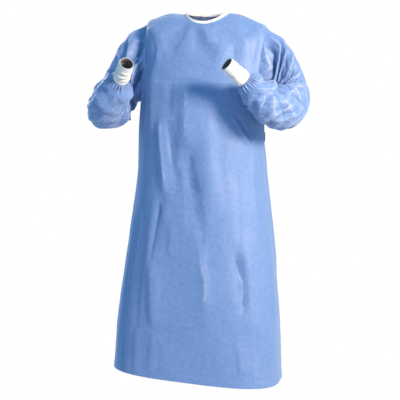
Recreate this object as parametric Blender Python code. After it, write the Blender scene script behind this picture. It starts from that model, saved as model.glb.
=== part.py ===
"""Surgical gown as it hangs on a standing wearer with both forearms raised: hollow cloth panels at real size.

Metres, +Z up, the front faces -Y and the wearer's left is +X. The origin is the middle of the neck
opening at the height where the gown lies on the shoulders.
"""

import math

import bmesh
import bpy
import numpy as np

# Cloth
WALL = 0.002
SEAM_GAP = 0.0003
BINDING_WIDTH = 0.009
BINDING_WALL = 0.0028
BINDING_STEP = BINDING_WALL + 0.0014  # where the tape laps over itself
CUFF_WALL = 0.0026
CUFF_LENGTH = 0.078
CUFF_RADIUS = 0.0245

# The body's loops, from the hem to the neck. level 0 is the hem, 1 the underarm, 2 the shoulder point,
# 3 the neckline. side, front and back are the heights of a loop there, and x its middle.
LOOP_COLUMNS = ("level", "side", "front", "back", "x", "half_width", "front_depth", "back_depth", "square")
LOOPS = (
    (0.00, -1.216, -1.216, -1.216, -0.030, 0.283, 0.196, 0.182, 3.10),
    (0.25, -0.990, -0.990, -0.990, -0.025, 0.270, 0.186, 0.174, 2.70),
    (0.50, -0.755, -0.755, -0.755, -0.021, 0.243, 0.171, 0.163, 2.40),
    (0.75, -0.520, -0.520, -0.520, -0.020, 0.215, 0.158, 0.150, 2.35),
    (0.88, -0.400, -0.404, -0.402, -0.020, 0.212, 0.152, 0.140, 2.40),
    (1.00, -0.290, -0.300, -0.295, -0.014, 0.211, 0.142, 0.128, 2.45),
    (1.35, -0.200, -0.232, -0.220, -0.006, 0.212, 0.128, 0.116, 2.45),
    (1.70, -0.110, -0.172, -0.148, -0.003, 0.213, 0.114, 0.108, 2.40),
    (2.00, -0.042, -0.130, -0.095, 0.000, 0.203, 0.105, 0.101, 2.30),
    (2.30, -0.024, -0.104, -0.062, 0.000, 0.170, 0.098, 0.095, 2.20),
    (2.65, -0.006, -0.076, -0.030, 0.000, 0.121, 0.087, 0.084, 2.10),
    (3.00, -0.004, -0.044, -0.006, 0.000, 0.074, 0.070, 0.068, 2.00),
)
HEM, UNDERARM, SHOULDER, NECK = 0.0, 1.0, 2.0, 3.0
SHOULDER_TILT = 0.065  # the wearer's right shoulder is the higher one
HEM_TILT = 0.075  # and so is the hem on that side

# Panels. Angles run round a loop from the middle of the front, positive towards the wearer's left.
SIDE_SEAM = {"left": 78.0, "right": -48.0}  # at the hem: the gown is worn turned a little
ARMHOLE_FRONT, ARMHOLE_BACK = 29.0, 27.0  # how far an armhole reaches round a loop
OVERLAP_TOP, OVERLAP_HEM = 26.0, 17.0  # the back flaps pass the middle of the back by this
FLAP_STEP = WALL + 0.0010  # the inner flap lies this far under the outer one
FLAP_FADE = 16.0

# Body folds: a fold runs from one point to another, given as angle and height, and stands out by rise
# (or in, where it is negative). width is its half width in metres.
FOLD_COLUMNS = ("angle_0", "height_0", "angle_1", "height_1", "width", "rise")
BODY_FOLDS = (
    (-42, -0.030, -22, -0.150, 0.015, -0.008),  # drag line from the neck to the right side of the chest
    (-56, -0.040, -36, -0.190, 0.020, 0.006),
    (-12, -0.045, 7, -0.170, 0.017, -0.008),  # trough under the neck
    (20, -0.050, 10, -0.210, 0.018, 0.006),
    (40, -0.040, 24, -0.200, 0.020, -0.005),
    (62, -0.050, 45, -0.200, 0.015, -0.008),  # drag lines to the left armhole
    (74, -0.080, 56, -0.230, 0.017, 0.007),
    (-64, -0.110, -56, -0.400, 0.022, -0.006),
    (-46, -0.160, -38, -0.460, 0.024, 0.006),
    (-27, -0.330, -18, -0.640, 0.022, 0.010),  # long folds down the front
    (-15, -0.400, -9, -0.620, 0.017, -0.008),
    (-7, -0.210, -3, -0.540, 0.020, 0.009),
    (-1, -0.430, 5, -0.680, 0.019, -0.009),
    (8, -0.300, 16, -0.640, 0.026, 0.008),
    (40, -0.480, 34, -0.800, 0.022, -0.006),
    (62, -0.420, 54, -0.780, 0.022, 0.008),
    (-23, -0.600, -25, -0.820, 0.016, -0.009),
    (-31, -0.600, -30, -1.000, 0.022, 0.008),
    (-25, -0.800, -17, -1.060, 0.020, 0.008),
    (9, -0.690, 9, -0.850, 0.015, -0.009),
    (5, -0.700, 7, -1.040, 0.022, 0.009),
    (33, -0.780, 35, -1.000, 0.018, -0.010),
    (43, -0.740, 41, -1.080, 0.026, 0.008),
    (-62, -0.600, -52, -1.180, 0.030, -0.007),
    (78, -0.620, 74, -1.180, 0.030, 0.008),
    (-84, -0.560, -78, -1.180, 0.028, 0.008),
    (108, -0.460, 116, -1.060, 0.034, 0.011),  # back folds, from the tied waist down
    (132, -0.450, 138, -1.120, 0.034, -0.011),
    (152, -0.460, 156, -1.000, 0.030, 0.010),
    (-108, -0.460, -116, -1.060, 0.034, 0.011),
    (-134, -0.450, -140, -1.120, 0.034, -0.011),
    (-156, -0.460, -160, -0.980, 0.030, 0.010),
    (128, -0.080, 140, -0.330, 0.024, 0.008),  # shoulder blades
    (-128, -0.080, -140, -0.330, 0.024, 0.008),
    (160, -0.140, 164, -0.380, 0.022, -0.006),
    (-158, -0.160, -162, -0.380, 0.022, -0.006),
)

# Arms. The sleeve's middle line runs straight from the armhole, round the crook of the elbow, and straight
# to the wrist.
ARMS = {
    "right": {
        "side": -1,
        "crook": (-0.270, -0.066, -0.248),
        "wrist": (-0.244, -0.200, -0.228),
        "hand": (0.450, -0.680, 0.580),
        "bend": 0.082,
        "cap": 0.034,
    },
    "left": {
        "side": 1,
        "crook": (0.215, -0.094, -0.248),
        "wrist": (0.160, -0.210, -0.236),
        "hand": (-0.590, -0.520, 0.600),
        "bend": 0.082,
        "cap": 0.024,
    },
}
ARMHOLE_BLEND = 0.42  # the share of the sleeve over which the armhole's outline turns round
CAP_TO = 0.62  # the sleeve head stands out by cap, up to this share
SIDE_CLEAR = 0.030  # and the upper arm keeps this far off the body's side
SIDE_RELEASE = 0.22  # where the forearm turns in front of the body

# Sleeve sections by their share of the middle line's length: half sizes towards the crook, away from it,
# and to the sides.
SLEEVE_COLUMNS = ("share", "inner", "outer", "across")
SLEEVE_SECTIONS = (
    (0.00, 0.080, 0.082, 0.090),
    (0.22, 0.058, 0.076, 0.082),
    (0.40, 0.049, 0.080, 0.080),
    (0.55, 0.051, 0.082, 0.077),
    (0.70, 0.053, 0.083, 0.066),
    (0.84, 0.048, 0.070, 0.058),
    (0.94, 0.041, 0.044, 0.046),
    (1.00, 0.0262, 0.0262, 0.0262),
)

# Crush folds round the crook: each lies along a ring at this share of the sleeve, deepest at the crook.
CRUSH_COLUMNS = ("share", "width", "rise", "turn")
CRUSH_FOLDS = (
    (0.15, 0.024, -0.006, 0.6),
    (0.25, 0.024, 0.006, 0.9),
    (0.34, 0.023, -0.007, 0.5),
    (0.43, 0.022, 0.008, -0.2),
    (0.52, 0.021, -0.008, 0.4),
    (0.61, 0.021, 0.008, -0.4),
    (0.70, 0.021, -0.007, 0.5),
    (0.79, 0.022, 0.005, -0.3),
)
GATHERS = 12
GATHER_RISE = 0.0042
GATHER_FROM = 0.90
CUFF_RINGS = 4
CUFF_RING_RISE = 0.0012

# Ties, tied behind the waist
TIE_WIDTH = 0.030
TIE_WALL = 0.0016
TIE_HEIGHT = -0.415
TIE_LIFT = 0.0004
KNOT_HALF = (0.0155, 0.0085, 0.0143)
TAIL_LENGTH = 0.24
TAIL_DROP = 0.05  # the tails start this share of a row under the ties

# Mesh sizes
FRONT_COLUMNS, SIDE_COLUMNS = 28, 7
LAP_COLUMNS = (-1.0, -0.60, -0.33, -0.06, 0.06, 0.33, 0.60, 1.0)  # both back flaps, as shares of their reach
BODY_ROWS, SHOULDER_ROWS = 14, 5
SLEEVE_COLUMNS_ROUND = 20
SLEEVE_ROWS = 23
GATHER_ROWS = 3
CUFF_COLUMNS, CUFF_ROWS = 16, 9

PAINT = {
    "gown_cloth": {"colour": (0.19, 0.37, 0.74), "roughness": 0.72},
    "knit": {"colour": (0.88, 0.88, 0.87), "roughness": 0.9},
    "binding": {"colour": (0.90, 0.90, 0.92), "roughness": 0.8},
}


def clear_scene():
    for thing in list(bpy.data.objects):
        bpy.data.objects.remove(thing, do_unlink=True)


def material(name):
    found = bpy.data.materials.get(name)
    if found:
        return found
    made = bpy.data.materials.new(name)
    made.use_nodes = True
    shader = made.node_tree.nodes["Principled BSDF"]
    shader.inputs["Base Color"].default_value = (*PAINT[name]["colour"], 1.0)
    shader.inputs["Roughness"].default_value = PAINT[name]["roughness"]
    shader.inputs["Metallic"].default_value = 0.0
    return made


def column(table, columns, name):
    return np.array([row[columns.index(name)] for row in table], float)


def smooth_through(at, knots, values):
    """A curve through the values at the knots, with no corner at a knot (cubic Hermite)."""
    slope = np.gradient(values, knots)
    i = np.clip(np.searchsorted(knots, at) - 1, 0, len(knots) - 2)
    span = knots[i + 1] - knots[i]
    t = np.clip((at - knots[i]) / span, 0.0, 1.0)
    return (
        (2 * t**3 - 3 * t**2 + 1) * values[i]
        + (t**3 - 2 * t**2 + t) * span * slope[i]
        + (3 * t**2 - 2 * t**3) * values[i + 1]
        + (t**3 - t**2) * span * slope[i + 1]
    )


def ease(t):
    t = np.clip(t, 0.0, 1.0)
    return t * t * (3 - 2 * t)


def unit(v):
    v = np.asarray(v, float)
    return v / np.maximum(np.linalg.norm(v, axis=-1, keepdims=True), 1e-12)


def loop_value(level, name):
    return smooth_through(level, column(LOOPS, LOOP_COLUMNS, "level"), column(LOOPS, LOOP_COLUMNS, name))


def body_base(angle, level):
    """The body's surface without folds, at an angle in degrees and a level."""
    turn = np.radians(angle)
    s, c = np.sin(turn), np.cos(turn)
    power = 2.0 / loop_value(level, "square")
    x = loop_value(level, "x") + loop_value(level, "half_width") * np.sign(s) * np.abs(s) ** power
    depth = np.where(c > 0, loop_value(level, "front_depth"), loop_value(level, "back_depth"))
    y = -depth * np.sign(c) * np.abs(c) ** power
    side = loop_value(level, "side")
    forward, backward = np.maximum(c, 0) ** 1.5, np.maximum(-c, 0) ** 1.5
    z = side + (loop_value(level, "front") - side) * forward + (loop_value(level, "back") - side) * backward
    z = z - SHOULDER_TILT * x * ease((level - UNDERARM) / 0.8) * ease((NECK - level) / 0.5)
    z = z - HEM_TILT * x * ease(1 - level / 0.9)
    return np.stack([x, y, z], -1)


def facing(surface, u, v, step_u, step_v):
    """Unit normals of a surface given as a function of two parameters."""
    along_u = surface(u + step_u, v) - surface(u - step_u, v)
    along_v = surface(u, v + step_v) - surface(u, v - step_v)
    return unit(np.cross(along_u, along_v))


def body_folds(angle, level):
    """How far the folds move the cloth out, in metres."""
    at = body_base(angle, level)
    reach = 0.5 * (loop_value(level, "half_width") + loop_value(level, "front_depth"))
    moved = np.zeros(np.shape(at)[:-1])
    for angle_0, height_0, angle_1, height_1, width, rise in BODY_FOLDS:
        share = (at[..., 2] - height_0) / (height_1 - height_0)
        middle = angle_0 + (angle_1 - angle_0) * np.clip(share, -0.2, 1.2)
        off = (angle - middle + 180.0) % 360.0 - 180.0
        off = np.radians(off) * reach / width
        moved += rise * np.exp(-off * off) * ease((share + 0.12) / 0.4) * ease((1.12 - share) / 0.5)
    return moved * ease((NECK - level) / 0.35)


def body_surface(angle, level):
    angle, level = np.broadcast_arrays(np.asarray(angle, float), np.asarray(level, float))
    base = body_base(angle, level)
    out = facing(body_base, angle, level, 0.2, 0.004)
    return base + out * body_folds(angle, level)[..., None]


def body_facing(angle, level):
    angle, level = np.broadcast_arrays(np.asarray(angle, float), np.asarray(level, float))
    return facing(body_surface, angle, level, 0.3, 0.006)


def armhole_width(level, widest):
    """How far the armhole reaches round a loop at this level, in degrees."""
    middle, half = (UNDERARM + SHOULDER) / 2, (SHOULDER - UNDERARM) / 2
    return widest * np.sqrt(np.clip(1 - ((level - middle) / half) ** 2, 0, 1))


def panel_edge(side, face, level):
    """The angle where the front or the back panel ends on that side of the body."""
    sign = 1 if side == "left" else -1
    seam = SIDE_SEAM[side] + (sign * 90.0 - SIDE_SEAM[side]) * np.clip(level, 0, 1) ** 1.3
    widest = ARMHOLE_FRONT if face == "front" else -ARMHOLE_BACK
    edge = np.where(level < UNDERARM, seam, sign * (90.0 - armhole_width(level, widest)))
    radius = np.maximum(loop_value(level, "front_depth"), 0.05)
    half_gap = np.degrees(SEAM_GAP / 2 / radius)
    return edge - sign * (half_gap if face == "front" else -half_gap)


def tie_levels():
    """The levels of a waist tie's lower and upper edge."""
    levels = np.linspace(HEM, UNDERARM, 200)
    heights = loop_value(levels, "side")
    return [float(np.interp(TIE_HEIGHT + step * TIE_WIDTH / 2, heights, levels)) for step in (-1, 1)]


def panel_levels():
    """Row levels from the hem to the neck, closer together where the armhole's outline turns."""
    below = np.linspace(HEM, UNDERARM, BODY_ROWS)[:-1]
    tied = tie_levels()
    near = np.abs(below[:, None] - np.array(tied)[None, :]).min(1) < 0.025
    below = np.sort(np.concatenate([below[~near], tied]))
    swing = np.linspace(0, math.pi, SLEEVE_COLUMNS_ROUND // 2 + 1)
    beside = (UNDERARM + SHOULDER) / 2 - (SHOULDER - UNDERARM) / 2 * np.cos(swing)
    above = np.linspace(SHOULDER, NECK, SHOULDER_ROWS)[1:]
    return np.concatenate([below, beside, above])


def rings_to_object(name, paint, outer, inner, closed):
    """A closed wall between two stacks of rows. A row may have twice the points of the row before it."""
    counts = [len(row) for row in outer]
    starts = np.concatenate([[0], np.cumsum(counts)])
    shift = int(starts[-1])
    faces = []

    def split(a, b, count, reach, flip):
        for i in range(reach):
            j = (i + 1) % count
            for face in ((a + i, a + j, b + j), (a + i, b + j, b + i)):
                faces.append(face[::-1] if flip else face)

    def doubled(a, b, count, flip):
        for i in range(count):
            j, k = (i + 1) % count, (2 * i + 2) % (2 * count)
            for face in ((a + i, b + 2 * i + 1, b + 2 * i), (a + i, a + j, b + 2 * i + 1), (a + j, b + k, b + 2 * i + 1)):
                faces.append(face[::-1] if flip else face)

    for r in range(len(outer) - 1):
        a, b, count = int(starts[r]), int(starts[r + 1]), counts[r]
        reach = count if closed else count - 1
        if counts[r + 1] == count:
            split(a, b, count, reach, False)
            split(a + shift, b + shift, count, reach, True)
        else:
            doubled(a, b, count, False)
            doubled(a + shift, b + shift, count, True)
        if not closed:
            faces.append((a, b, b + shift, a + shift))
            faces.append((b + count - 1, a + count - 1, a + count - 1 + shift, b + count - 1 + shift))
    for r, order in ((0, 1), (len(outer) - 1, -1)):
        a, count = int(starts[r]), counts[r]
        for i in range(count if closed else count - 1):
            j = (i + 1) % count
            face = (a + j, a + i, a + i + shift, a + j + shift)
            faces.append(face[::order])
    points = np.concatenate([*outer, *inner]).tolist()
    return mesh_object(name, paint, points, faces)


def mesh_object(name, paint, points, faces):
    mesh = bpy.data.meshes.new(name)
    mesh.from_pydata(points, [], faces)
    work = bmesh.new()
    work.from_mesh(mesh)
    bmesh.ops.recalc_face_normals(work, faces=work.faces)
    if work.calc_volume(signed=True) < 0:
        bmesh.ops.reverse_faces(work, faces=work.faces)
    work.to_mesh(mesh)
    work.free()
    mesh.shade_smooth()
    mesh.set_sharp_from_angle(angle=math.radians(50))
    made = bpy.data.objects.new(name, mesh)
    made.data.materials.append(material(paint))
    bpy.context.scene.collection.objects.link(made)
    return made


def wall_from(name, paint, points, normals, wall, closed=False):
    """A wall whose outside is the given rows of points, with its thickness inwards."""
    inner = [p - wall * n for p, n in zip(points, normals)]
    return rings_to_object(name, paint, list(points), inner, closed)


def front_panel():
    level = panel_levels()[:, None]
    share = np.linspace(0, 1, FRONT_COLUMNS)[None, :]
    right, left = panel_edge("right", "front", level), panel_edge("left", "front", level)
    angle = right + (left - right) * share
    wall_from("front_panel", "gown_cloth", body_surface(angle, level), body_facing(angle, level), WALL)


def flap_reach(level):
    """How far past the middle of the back a flap goes, in degrees."""
    return OVERLAP_HEM + (OVERLAP_TOP - OVERLAP_HEM) * np.clip(level, 0, NECK) / NECK


def flap_under(angle, level):
    """How far the inner flap lies under the outer one, in metres."""
    past_edge = np.asarray(angle, float) % 360.0 - (180.0 - flap_reach(level) - FLAP_FADE)
    return FLAP_STEP * ease(past_edge / (FLAP_FADE * 0.8))


def back_angles(side, level):
    """Column angles of a back panel. Where the flaps lap, both panels have the same columns."""
    lap = 180.0 + flap_reach(level) * np.array(LAP_COLUMNS)[None, :]
    share = np.linspace(0, 1, SIDE_COLUMNS + 1)[None, :]
    if side == "left":
        start = panel_edge(side, "back", level)
        return np.concatenate([(start + (lap[:, :1] - start) * share)[:, :-1], lap], 1)
    start = panel_edge(side, "back", level) + 360.0
    return np.concatenate([lap, (lap[:, -1:] + (start - lap[:, -1:]) * share)[:, 1:]], 1)


def back_panel(side):
    """The wearer's right flap lies over the left one."""
    level = panel_levels()[:, None]
    angle = back_angles(side, level)
    normals = body_facing(angle, level)
    points = body_surface(angle, level)
    if side == "left":
        points = points - normals * flap_under(angle, level)[..., None]
    wall_from(f"back_panel_{side}", "gown_cloth", points, normals, WALL)


def armhole_ring(side, turn):
    """(points, normals) of the armhole's edge. turn runs from 0 at the underarm, up the front, to 1."""
    sign = ARMS[side]["side"]
    turn = np.asarray(turn, float) % 1.0
    swing = 2 * math.pi * turn
    level = (UNDERARM + SHOULDER) / 2 - (SHOULDER - UNDERARM) / 2 * np.cos(swing)
    widest = np.where(turn < 0.5, ARMHOLE_FRONT, ARMHOLE_BACK)
    angle = sign * (90.0 - widest * np.sin(swing))
    return body_surface(angle, level), body_facing(angle, level)


def arm_path(side):
    """The sleeve's middle line as a function of its share, with a frame that doesn't twist."""
    arm = ARMS[side]
    start = armhole_ring(side, np.arange(16) / 16)[0].mean(0)
    crook, wrist, radius = np.array(arm["crook"]), np.array(arm["wrist"]), arm["bend"]
    to_start, to_wrist = start - crook, wrist - crook
    across = unit(np.cross(to_start, to_wrist))
    ahead = unit(to_start)
    beside = np.cross(across, ahead)
    wide = math.atan2(float(to_wrist @ beside), float(to_wrist @ ahead))
    first = math.acos(radius / np.linalg.norm(to_start))
    last = math.acos(radius / np.linalg.norm(to_wrist))
    begin, end = -first, wide + last - 2 * math.pi
    spans = (math.sqrt(to_start @ to_start - radius**2), (begin - end) * radius, math.sqrt(to_wrist @ to_wrist - radius**2))
    total = sum(spans)

    def on_arc(turn):
        return ahead * np.cos(turn)[..., None] + beside * np.sin(turn)[..., None]

    def place(share):
        far = np.asarray(share, float) * total
        turn = begin - np.clip(far - spans[0], 0, spans[1]) / radius
        away = on_arc(turn)
        tangent = np.cross(away, across)
        rest = np.minimum(far - spans[0], 0) + np.maximum(far - spans[0] - spans[1], 0)
        middle = crook + radius * away + tangent * rest[..., None]
        return middle, tangent, -away

    return place, across, total


def sleeve_surface(side):
    """The sleeve as a function of turn (0 at the underarm, up the front) and share of its length."""
    place, across, total = arm_path(side)
    sign = ARMS[side]["side"]
    start, along, inward = place(0.0)
    under = armhole_ring(side, 0.0)[0] - start
    front = armhole_ring(side, 0.25)[0] - start
    first = math.atan2(float(under @ across), float(under @ inward))
    second = math.atan2(float(front @ across), float(front @ inward))
    spin = 1 if (second - first) % (2 * math.pi) < math.pi else -1
    shares = column(SLEEVE_SECTIONS, SLEEVE_COLUMNS, "share")
    sizes = {n: column(SLEEVE_SECTIONS, SLEEVE_COLUMNS, n) for n in ("inner", "outer", "across")}

    def tube(turn, share, fold):
        middle, _, inward = place(share)
        phase = first + spin * 2 * math.pi * turn
        c, s = np.cos(phase), np.sin(phase)
        inner, outer, wide = (smooth_through(share, shares, sizes[n]) for n in ("inner", "outer", "across"))
        deep = np.where(c > 0, inner, outer)
        round_it = 1.0 / np.sqrt((c / deep) ** 2 + (s / wide) ** 2)
        round_it = round_it + fold
        return middle + (round_it * c)[..., None] * inward + (round_it * s)[..., None] * across

    def folds(turn, share):
        phase = first + spin * 2 * math.pi * turn
        near_crook = 0.75 + 0.25 * ease((np.cos(phase) + 0.8) / 0.9)
        near_crook = near_crook * (1 - 0.85 * ease((np.cos(phase) - 0.4) / 0.5))
        moved = np.zeros(np.shape(phase))
        for at, width, rise, slant in CRUSH_FOLDS:
            off = (share - at - 0.07 * slant * np.sin(phase + slant)) * total / width
            moved = moved + rise * np.exp(-off * off) * near_crook
        tight = ease((share - GATHER_FROM) / (1 - GATHER_FROM) * 1.4) * ease((1.0 - share) * 30 + 0.25)
        return moved + GATHER_RISE * np.cos(2 * math.pi * GATHERS * turn) * tight

    def surface(turn, share):
        """The tube, sheared so that it starts at the armhole, and blended from the armhole's outline."""
        turn, share = np.broadcast_arrays(np.asarray(turn, float), np.asarray(share, float))
        edge, _ = armhole_ring(side, turn)
        begin = ((edge - start) @ along) / total
        tube_start = tube(turn, begin, 0.0)
        keep = 1 - ease(share / ARMHOLE_BLEND)
        top = 0.5 - 0.5 * np.cos(2 * math.pi * turn)
        head = ease(share / 0.13) * ease((CAP_TO - share) / 0.42) * top
        stand = unit((sign, 0.0, 0.45)) * ARMS[side]["cap"]
        placed = tube(turn, begin + (1 - begin) * share, folds(turn, share))
        placed = placed + (edge - tube_start) * keep[..., None] + head[..., None] * stand
        near = ease(share / 0.12)
        least = sign * edge[..., 0] + SIDE_CLEAR * near - SIDE_RELEASE * ease((share - 0.3) / 0.6)
        over = sign * placed[..., 0] - least
        eased = least + (over + np.sqrt(over**2 + (0.014 * near) ** 2)) / 2
        placed[..., 0] = sign * eased
        return placed

    return surface, sign * spin


def sleeve(side):
    surface, _ = sleeve_surface(side)
    main = np.linspace(0, GATHER_FROM, SLEEVE_ROWS) ** 1.0
    gathers = np.linspace(GATHER_FROM, 1.0, GATHER_ROWS + 1)[1:]
    outer, inner = [], []
    for row, share in enumerate([*main, *gathers]):
        count = SLEEVE_COLUMNS_ROUND * (2 if share > GATHER_FROM else 1)
        turn = np.arange(count) / count
        at = np.full(count, share)
        inside = np.clip(at, 0.004, 0.996)
        normals = facing(surface, turn, inside, 0.004, 0.004)
        points = surface(turn, at)
        away = unit(points - points.mean(0))
        normals = normals * np.sign(np.sum(normals * away))
        if row == 0:
            points, panel = armhole_ring(side, turn)
            leaving = unit(surface(turn, np.full(count, 0.02)) - points)
            own = ease(np.sum(leaving * panel, -1, keepdims=True) / 0.4)
            normals = unit(panel * (1 - own) + normals * own)
            points = points + leaving * SEAM_GAP
        outer.append(points)
        inner.append(points - WALL * normals)
    rings_to_object(f"sleeve_{side}", "gown_cloth", outer, inner, True)


def cuff(side):
    """Knit cuff: a tube in soft rings from the gathered sleeve end to its open hem."""
    place, across, _ = arm_path(side)
    middle, tangent, _ = place(1.0)
    hand = unit(ARMS[side]["hand"])
    outer, inner = [], []
    for share in np.linspace(0, 1, CUFF_ROWS):
        turn_to_hand = ease(share * 2.2)
        way = unit(tangent * (1 - turn_to_hand) + hand * turn_to_hand)
        if share == 0:
            at = middle + tangent * SEAM_GAP
        else:
            at = at + way * CUFF_LENGTH / (CUFF_ROWS - 1)
        side_way = unit(across - way * (across @ way))
        third = np.cross(way, side_way)
        radius = CUFF_RADIUS * (1 + 0.06 * math.sin(math.pi * share) - 0.08 * share)
        radius += CUFF_RING_RISE * math.cos(2 * math.pi * CUFF_RINGS * share) * (1 - share)
        phase = 2 * math.pi * np.arange(CUFF_COLUMNS) / CUFF_COLUMNS
        spoke = np.cos(phase)[:, None] * side_way + np.sin(phase)[:, None] * third
        outer.append(at + radius * spoke)
        inner.append(at + (radius - CUFF_WALL) * spoke)
    rings_to_object(f"cuff_{side}", "knit", outer, inner, True)


def neck_binding():
    """Tape round the neckline: it stands on the panels' edge and laps over itself behind."""
    reach = float(flap_reach(np.array(NECK)))
    top = np.array([[NECK]])
    share = np.linspace(0, 1, FRONT_COLUMNS)
    ends = [panel_edge(side, "front", top)[0, 0] for side in ("right", "left")]
    front = ends[0] + (ends[1] - ends[0]) * share
    angle = np.concatenate([back_angles("left", top)[0][::-1], front[::-1], back_angles("right", top)[0][::-1] - 360.0])
    angle = angle[np.concatenate([[True], np.abs(np.diff(angle)) > 0.5])]
    level = np.full(angle.shape, NECK)
    edge = body_surface(angle, level)
    normal = body_facing(angle, np.full(angle.shape, NECK - 0.01))
    below = body_surface(angle, np.full(angle.shape, NECK - 0.12))
    rise = unit(unit(edge - below) + np.array((0.0, 0.0, 1.1)))
    out = unit(normal - rise * np.sum(normal * rise, -1, keepdims=True))
    under = BINDING_STEP * ease((angle - (180.0 - reach - FLAP_FADE)) / (FLAP_FADE * 0.8))
    foot = edge + rise * SEAM_GAP - out * under[:, None]
    top = foot + rise * BINDING_WIDTH
    crown = foot + rise * (BINDING_WIDTH + BINDING_WALL * 0.35) - out * BINDING_WALL / 2
    section = (foot, foot + rise * BINDING_WIDTH * 0.5 + out * 0.0006, top, crown,
               top - out * BINDING_WALL, foot - out * BINDING_WALL)
    rows = np.stack(section, 1)
    points, faces = [], []
    count = rows.shape[1]
    for row in rows:
        points.extend(row.tolist())
    for r in range(len(rows) - 1):
        for i in range(count):
            j = (i + 1) % count
            faces.append((r * count + i, r * count + j, (r + 1) * count + j, (r + 1) * count + i))
    faces.append(tuple(range(count)))
    faces.append(tuple(range(len(points) - count, len(points)))[::-1])
    mesh_object("neck_binding", "binding", points, faces)


def tie_strip(name, points, normals):
    """A flat tie on a back panel: some of the panel's own points, moved out."""
    inner = points + normals * TIE_LIFT
    rings_to_object(name, "gown_cloth", list(inner + normals * TIE_WALL), list(inner), False)


def ties():
    """Two waist ties from near the side seams to a knot behind, and their hanging ends."""
    level = panel_levels()
    upper = int(np.searchsorted(level, tie_levels()[1] - 1e-9))
    lower = upper - 1
    for side in ("left", "right"):
        angle = back_angles(side, level[:, None])
        normals, points = body_facing(angle, level[:, None]), body_surface(angle, level[:, None])
        if side == "left":
            band = slice(1, SIDE_COLUMNS + 3)
        else:
            band = slice(5, SIDE_COLUMNS + 7)
        rows = slice(lower, upper + 1)
        lift = np.zeros(points.shape[:2])
        tie_strip(f"tie_{side}", (points + normals * lift[..., None])[rows, band].swapaxes(0, 1),
                  normals[rows, band].swapaxes(0, 1))
    angle = back_angles("right", level[:, None])
    normals, points = body_facing(angle, level[:, None]), body_surface(angle, level[:, None])
    last = int(np.argmin(np.abs(loop_value(level, "side") - (TIE_HEIGHT - TAIL_LENGTH))))
    hang = points[last:upper].copy()
    hang[-1] += (hang[-2] - hang[-1]) * TAIL_DROP
    for side, columns in (("left", slice(1, 4)), ("right", slice(4, 7))):
        tie_strip(f"tie_end_{side}", hang[:, columns], normals[last:upper, columns])
    middle = (points[lower, 3] + points[lower, 4] + points[upper, 3] + points[upper, 4]) / 4
    out = unit(normals[lower, 3] + normals[lower, 4])
    centre = middle + out * (KNOT_HALF[1] + SEAM_GAP)
    work = bmesh.new()
    bmesh.ops.create_uvsphere(work, u_segments=12, v_segments=8, radius=1.0)
    across, up = np.array((1.0, 0.0, 0.0)), np.array((0.0, 0.0, 1.0))
    for vert in work.verts:
        wide, deep, tall = (math.copysign(abs(c) ** 0.75, c) * h for c, h in zip(vert.co, KNOT_HALF))
        vert.co = centre + across * wide + out * deep + up * tall
    points = [tuple(v.co) for v in work.verts]
    faces = [tuple(v.index for v in f.verts) for f in work.faces]
    work.free()
    mesh_object("tie_knot", "gown_cloth", points, faces)


def main():
    clear_scene()
    front_panel()
    for side in ("left", "right"):
        back_panel(side)
        sleeve(side)
        cuff(side)
    neck_binding()
    ties()


main()
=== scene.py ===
import math

import bmesh
import bpy
import numpy as np
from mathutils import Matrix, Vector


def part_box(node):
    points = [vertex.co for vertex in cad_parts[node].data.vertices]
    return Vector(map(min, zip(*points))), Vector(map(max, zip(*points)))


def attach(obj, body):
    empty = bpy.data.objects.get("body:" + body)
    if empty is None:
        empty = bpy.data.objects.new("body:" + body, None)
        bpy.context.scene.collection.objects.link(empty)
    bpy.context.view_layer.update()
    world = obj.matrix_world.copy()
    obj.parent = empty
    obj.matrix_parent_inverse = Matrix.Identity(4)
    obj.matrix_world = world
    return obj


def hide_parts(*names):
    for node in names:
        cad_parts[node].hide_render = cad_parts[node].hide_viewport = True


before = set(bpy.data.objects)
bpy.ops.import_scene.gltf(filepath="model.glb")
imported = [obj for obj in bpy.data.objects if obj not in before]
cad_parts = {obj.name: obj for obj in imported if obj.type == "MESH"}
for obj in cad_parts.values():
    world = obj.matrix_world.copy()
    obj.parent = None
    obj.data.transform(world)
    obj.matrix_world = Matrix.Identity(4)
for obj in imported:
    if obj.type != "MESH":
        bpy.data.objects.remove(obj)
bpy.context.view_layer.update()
print("frame loaded:", len(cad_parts), "nodes")

# small helpers


def ease(t):
    # 3t^2 - 2t^3 between 0 and 1
    t = np.clip(t, 0.0, 1.0)
    return t * t * (3 - 2 * t)


def unit(v):
    # every vector over its own length
    v = np.asarray(v, float)
    return v / np.maximum(np.linalg.norm(v, axis=-1, keepdims=True), 1e-12)


def smoothThrough(at, knots, values):
    # cubic Hermite through the values, each slope being the gradient at its knot
    slope = np.gradient(values, knots)
    i = np.clip(np.searchsorted(knots, at) - 1, 0, len(knots) - 2)
    span = knots[i + 1] - knots[i]
    t = np.clip((at - knots[i]) / span, 0.0, 1.0)
    return (
        (2 * t**3 - 3 * t**2 + 1) * values[i]
        + (t**3 - 2 * t**2 + t) * span * slope[i]
        + (3 * t**2 - 2 * t**3) * values[i + 1]
        + (t**3 - t**2) * span * slope[i + 1]
    )


def facing(surface, u, v, stepU, stepV):
    # the unit normal: the cross product of two small steps over the surface
    alongU = surface(u + stepU, v) - surface(u - stepU, v)
    alongV = surface(u, v + stepV) - surface(u, v - stepV)
    return unit(np.cross(alongU, alongV))


creaseForm = {"spread": 2.4, "power": 1.1, "farthest": 0.075}


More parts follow.
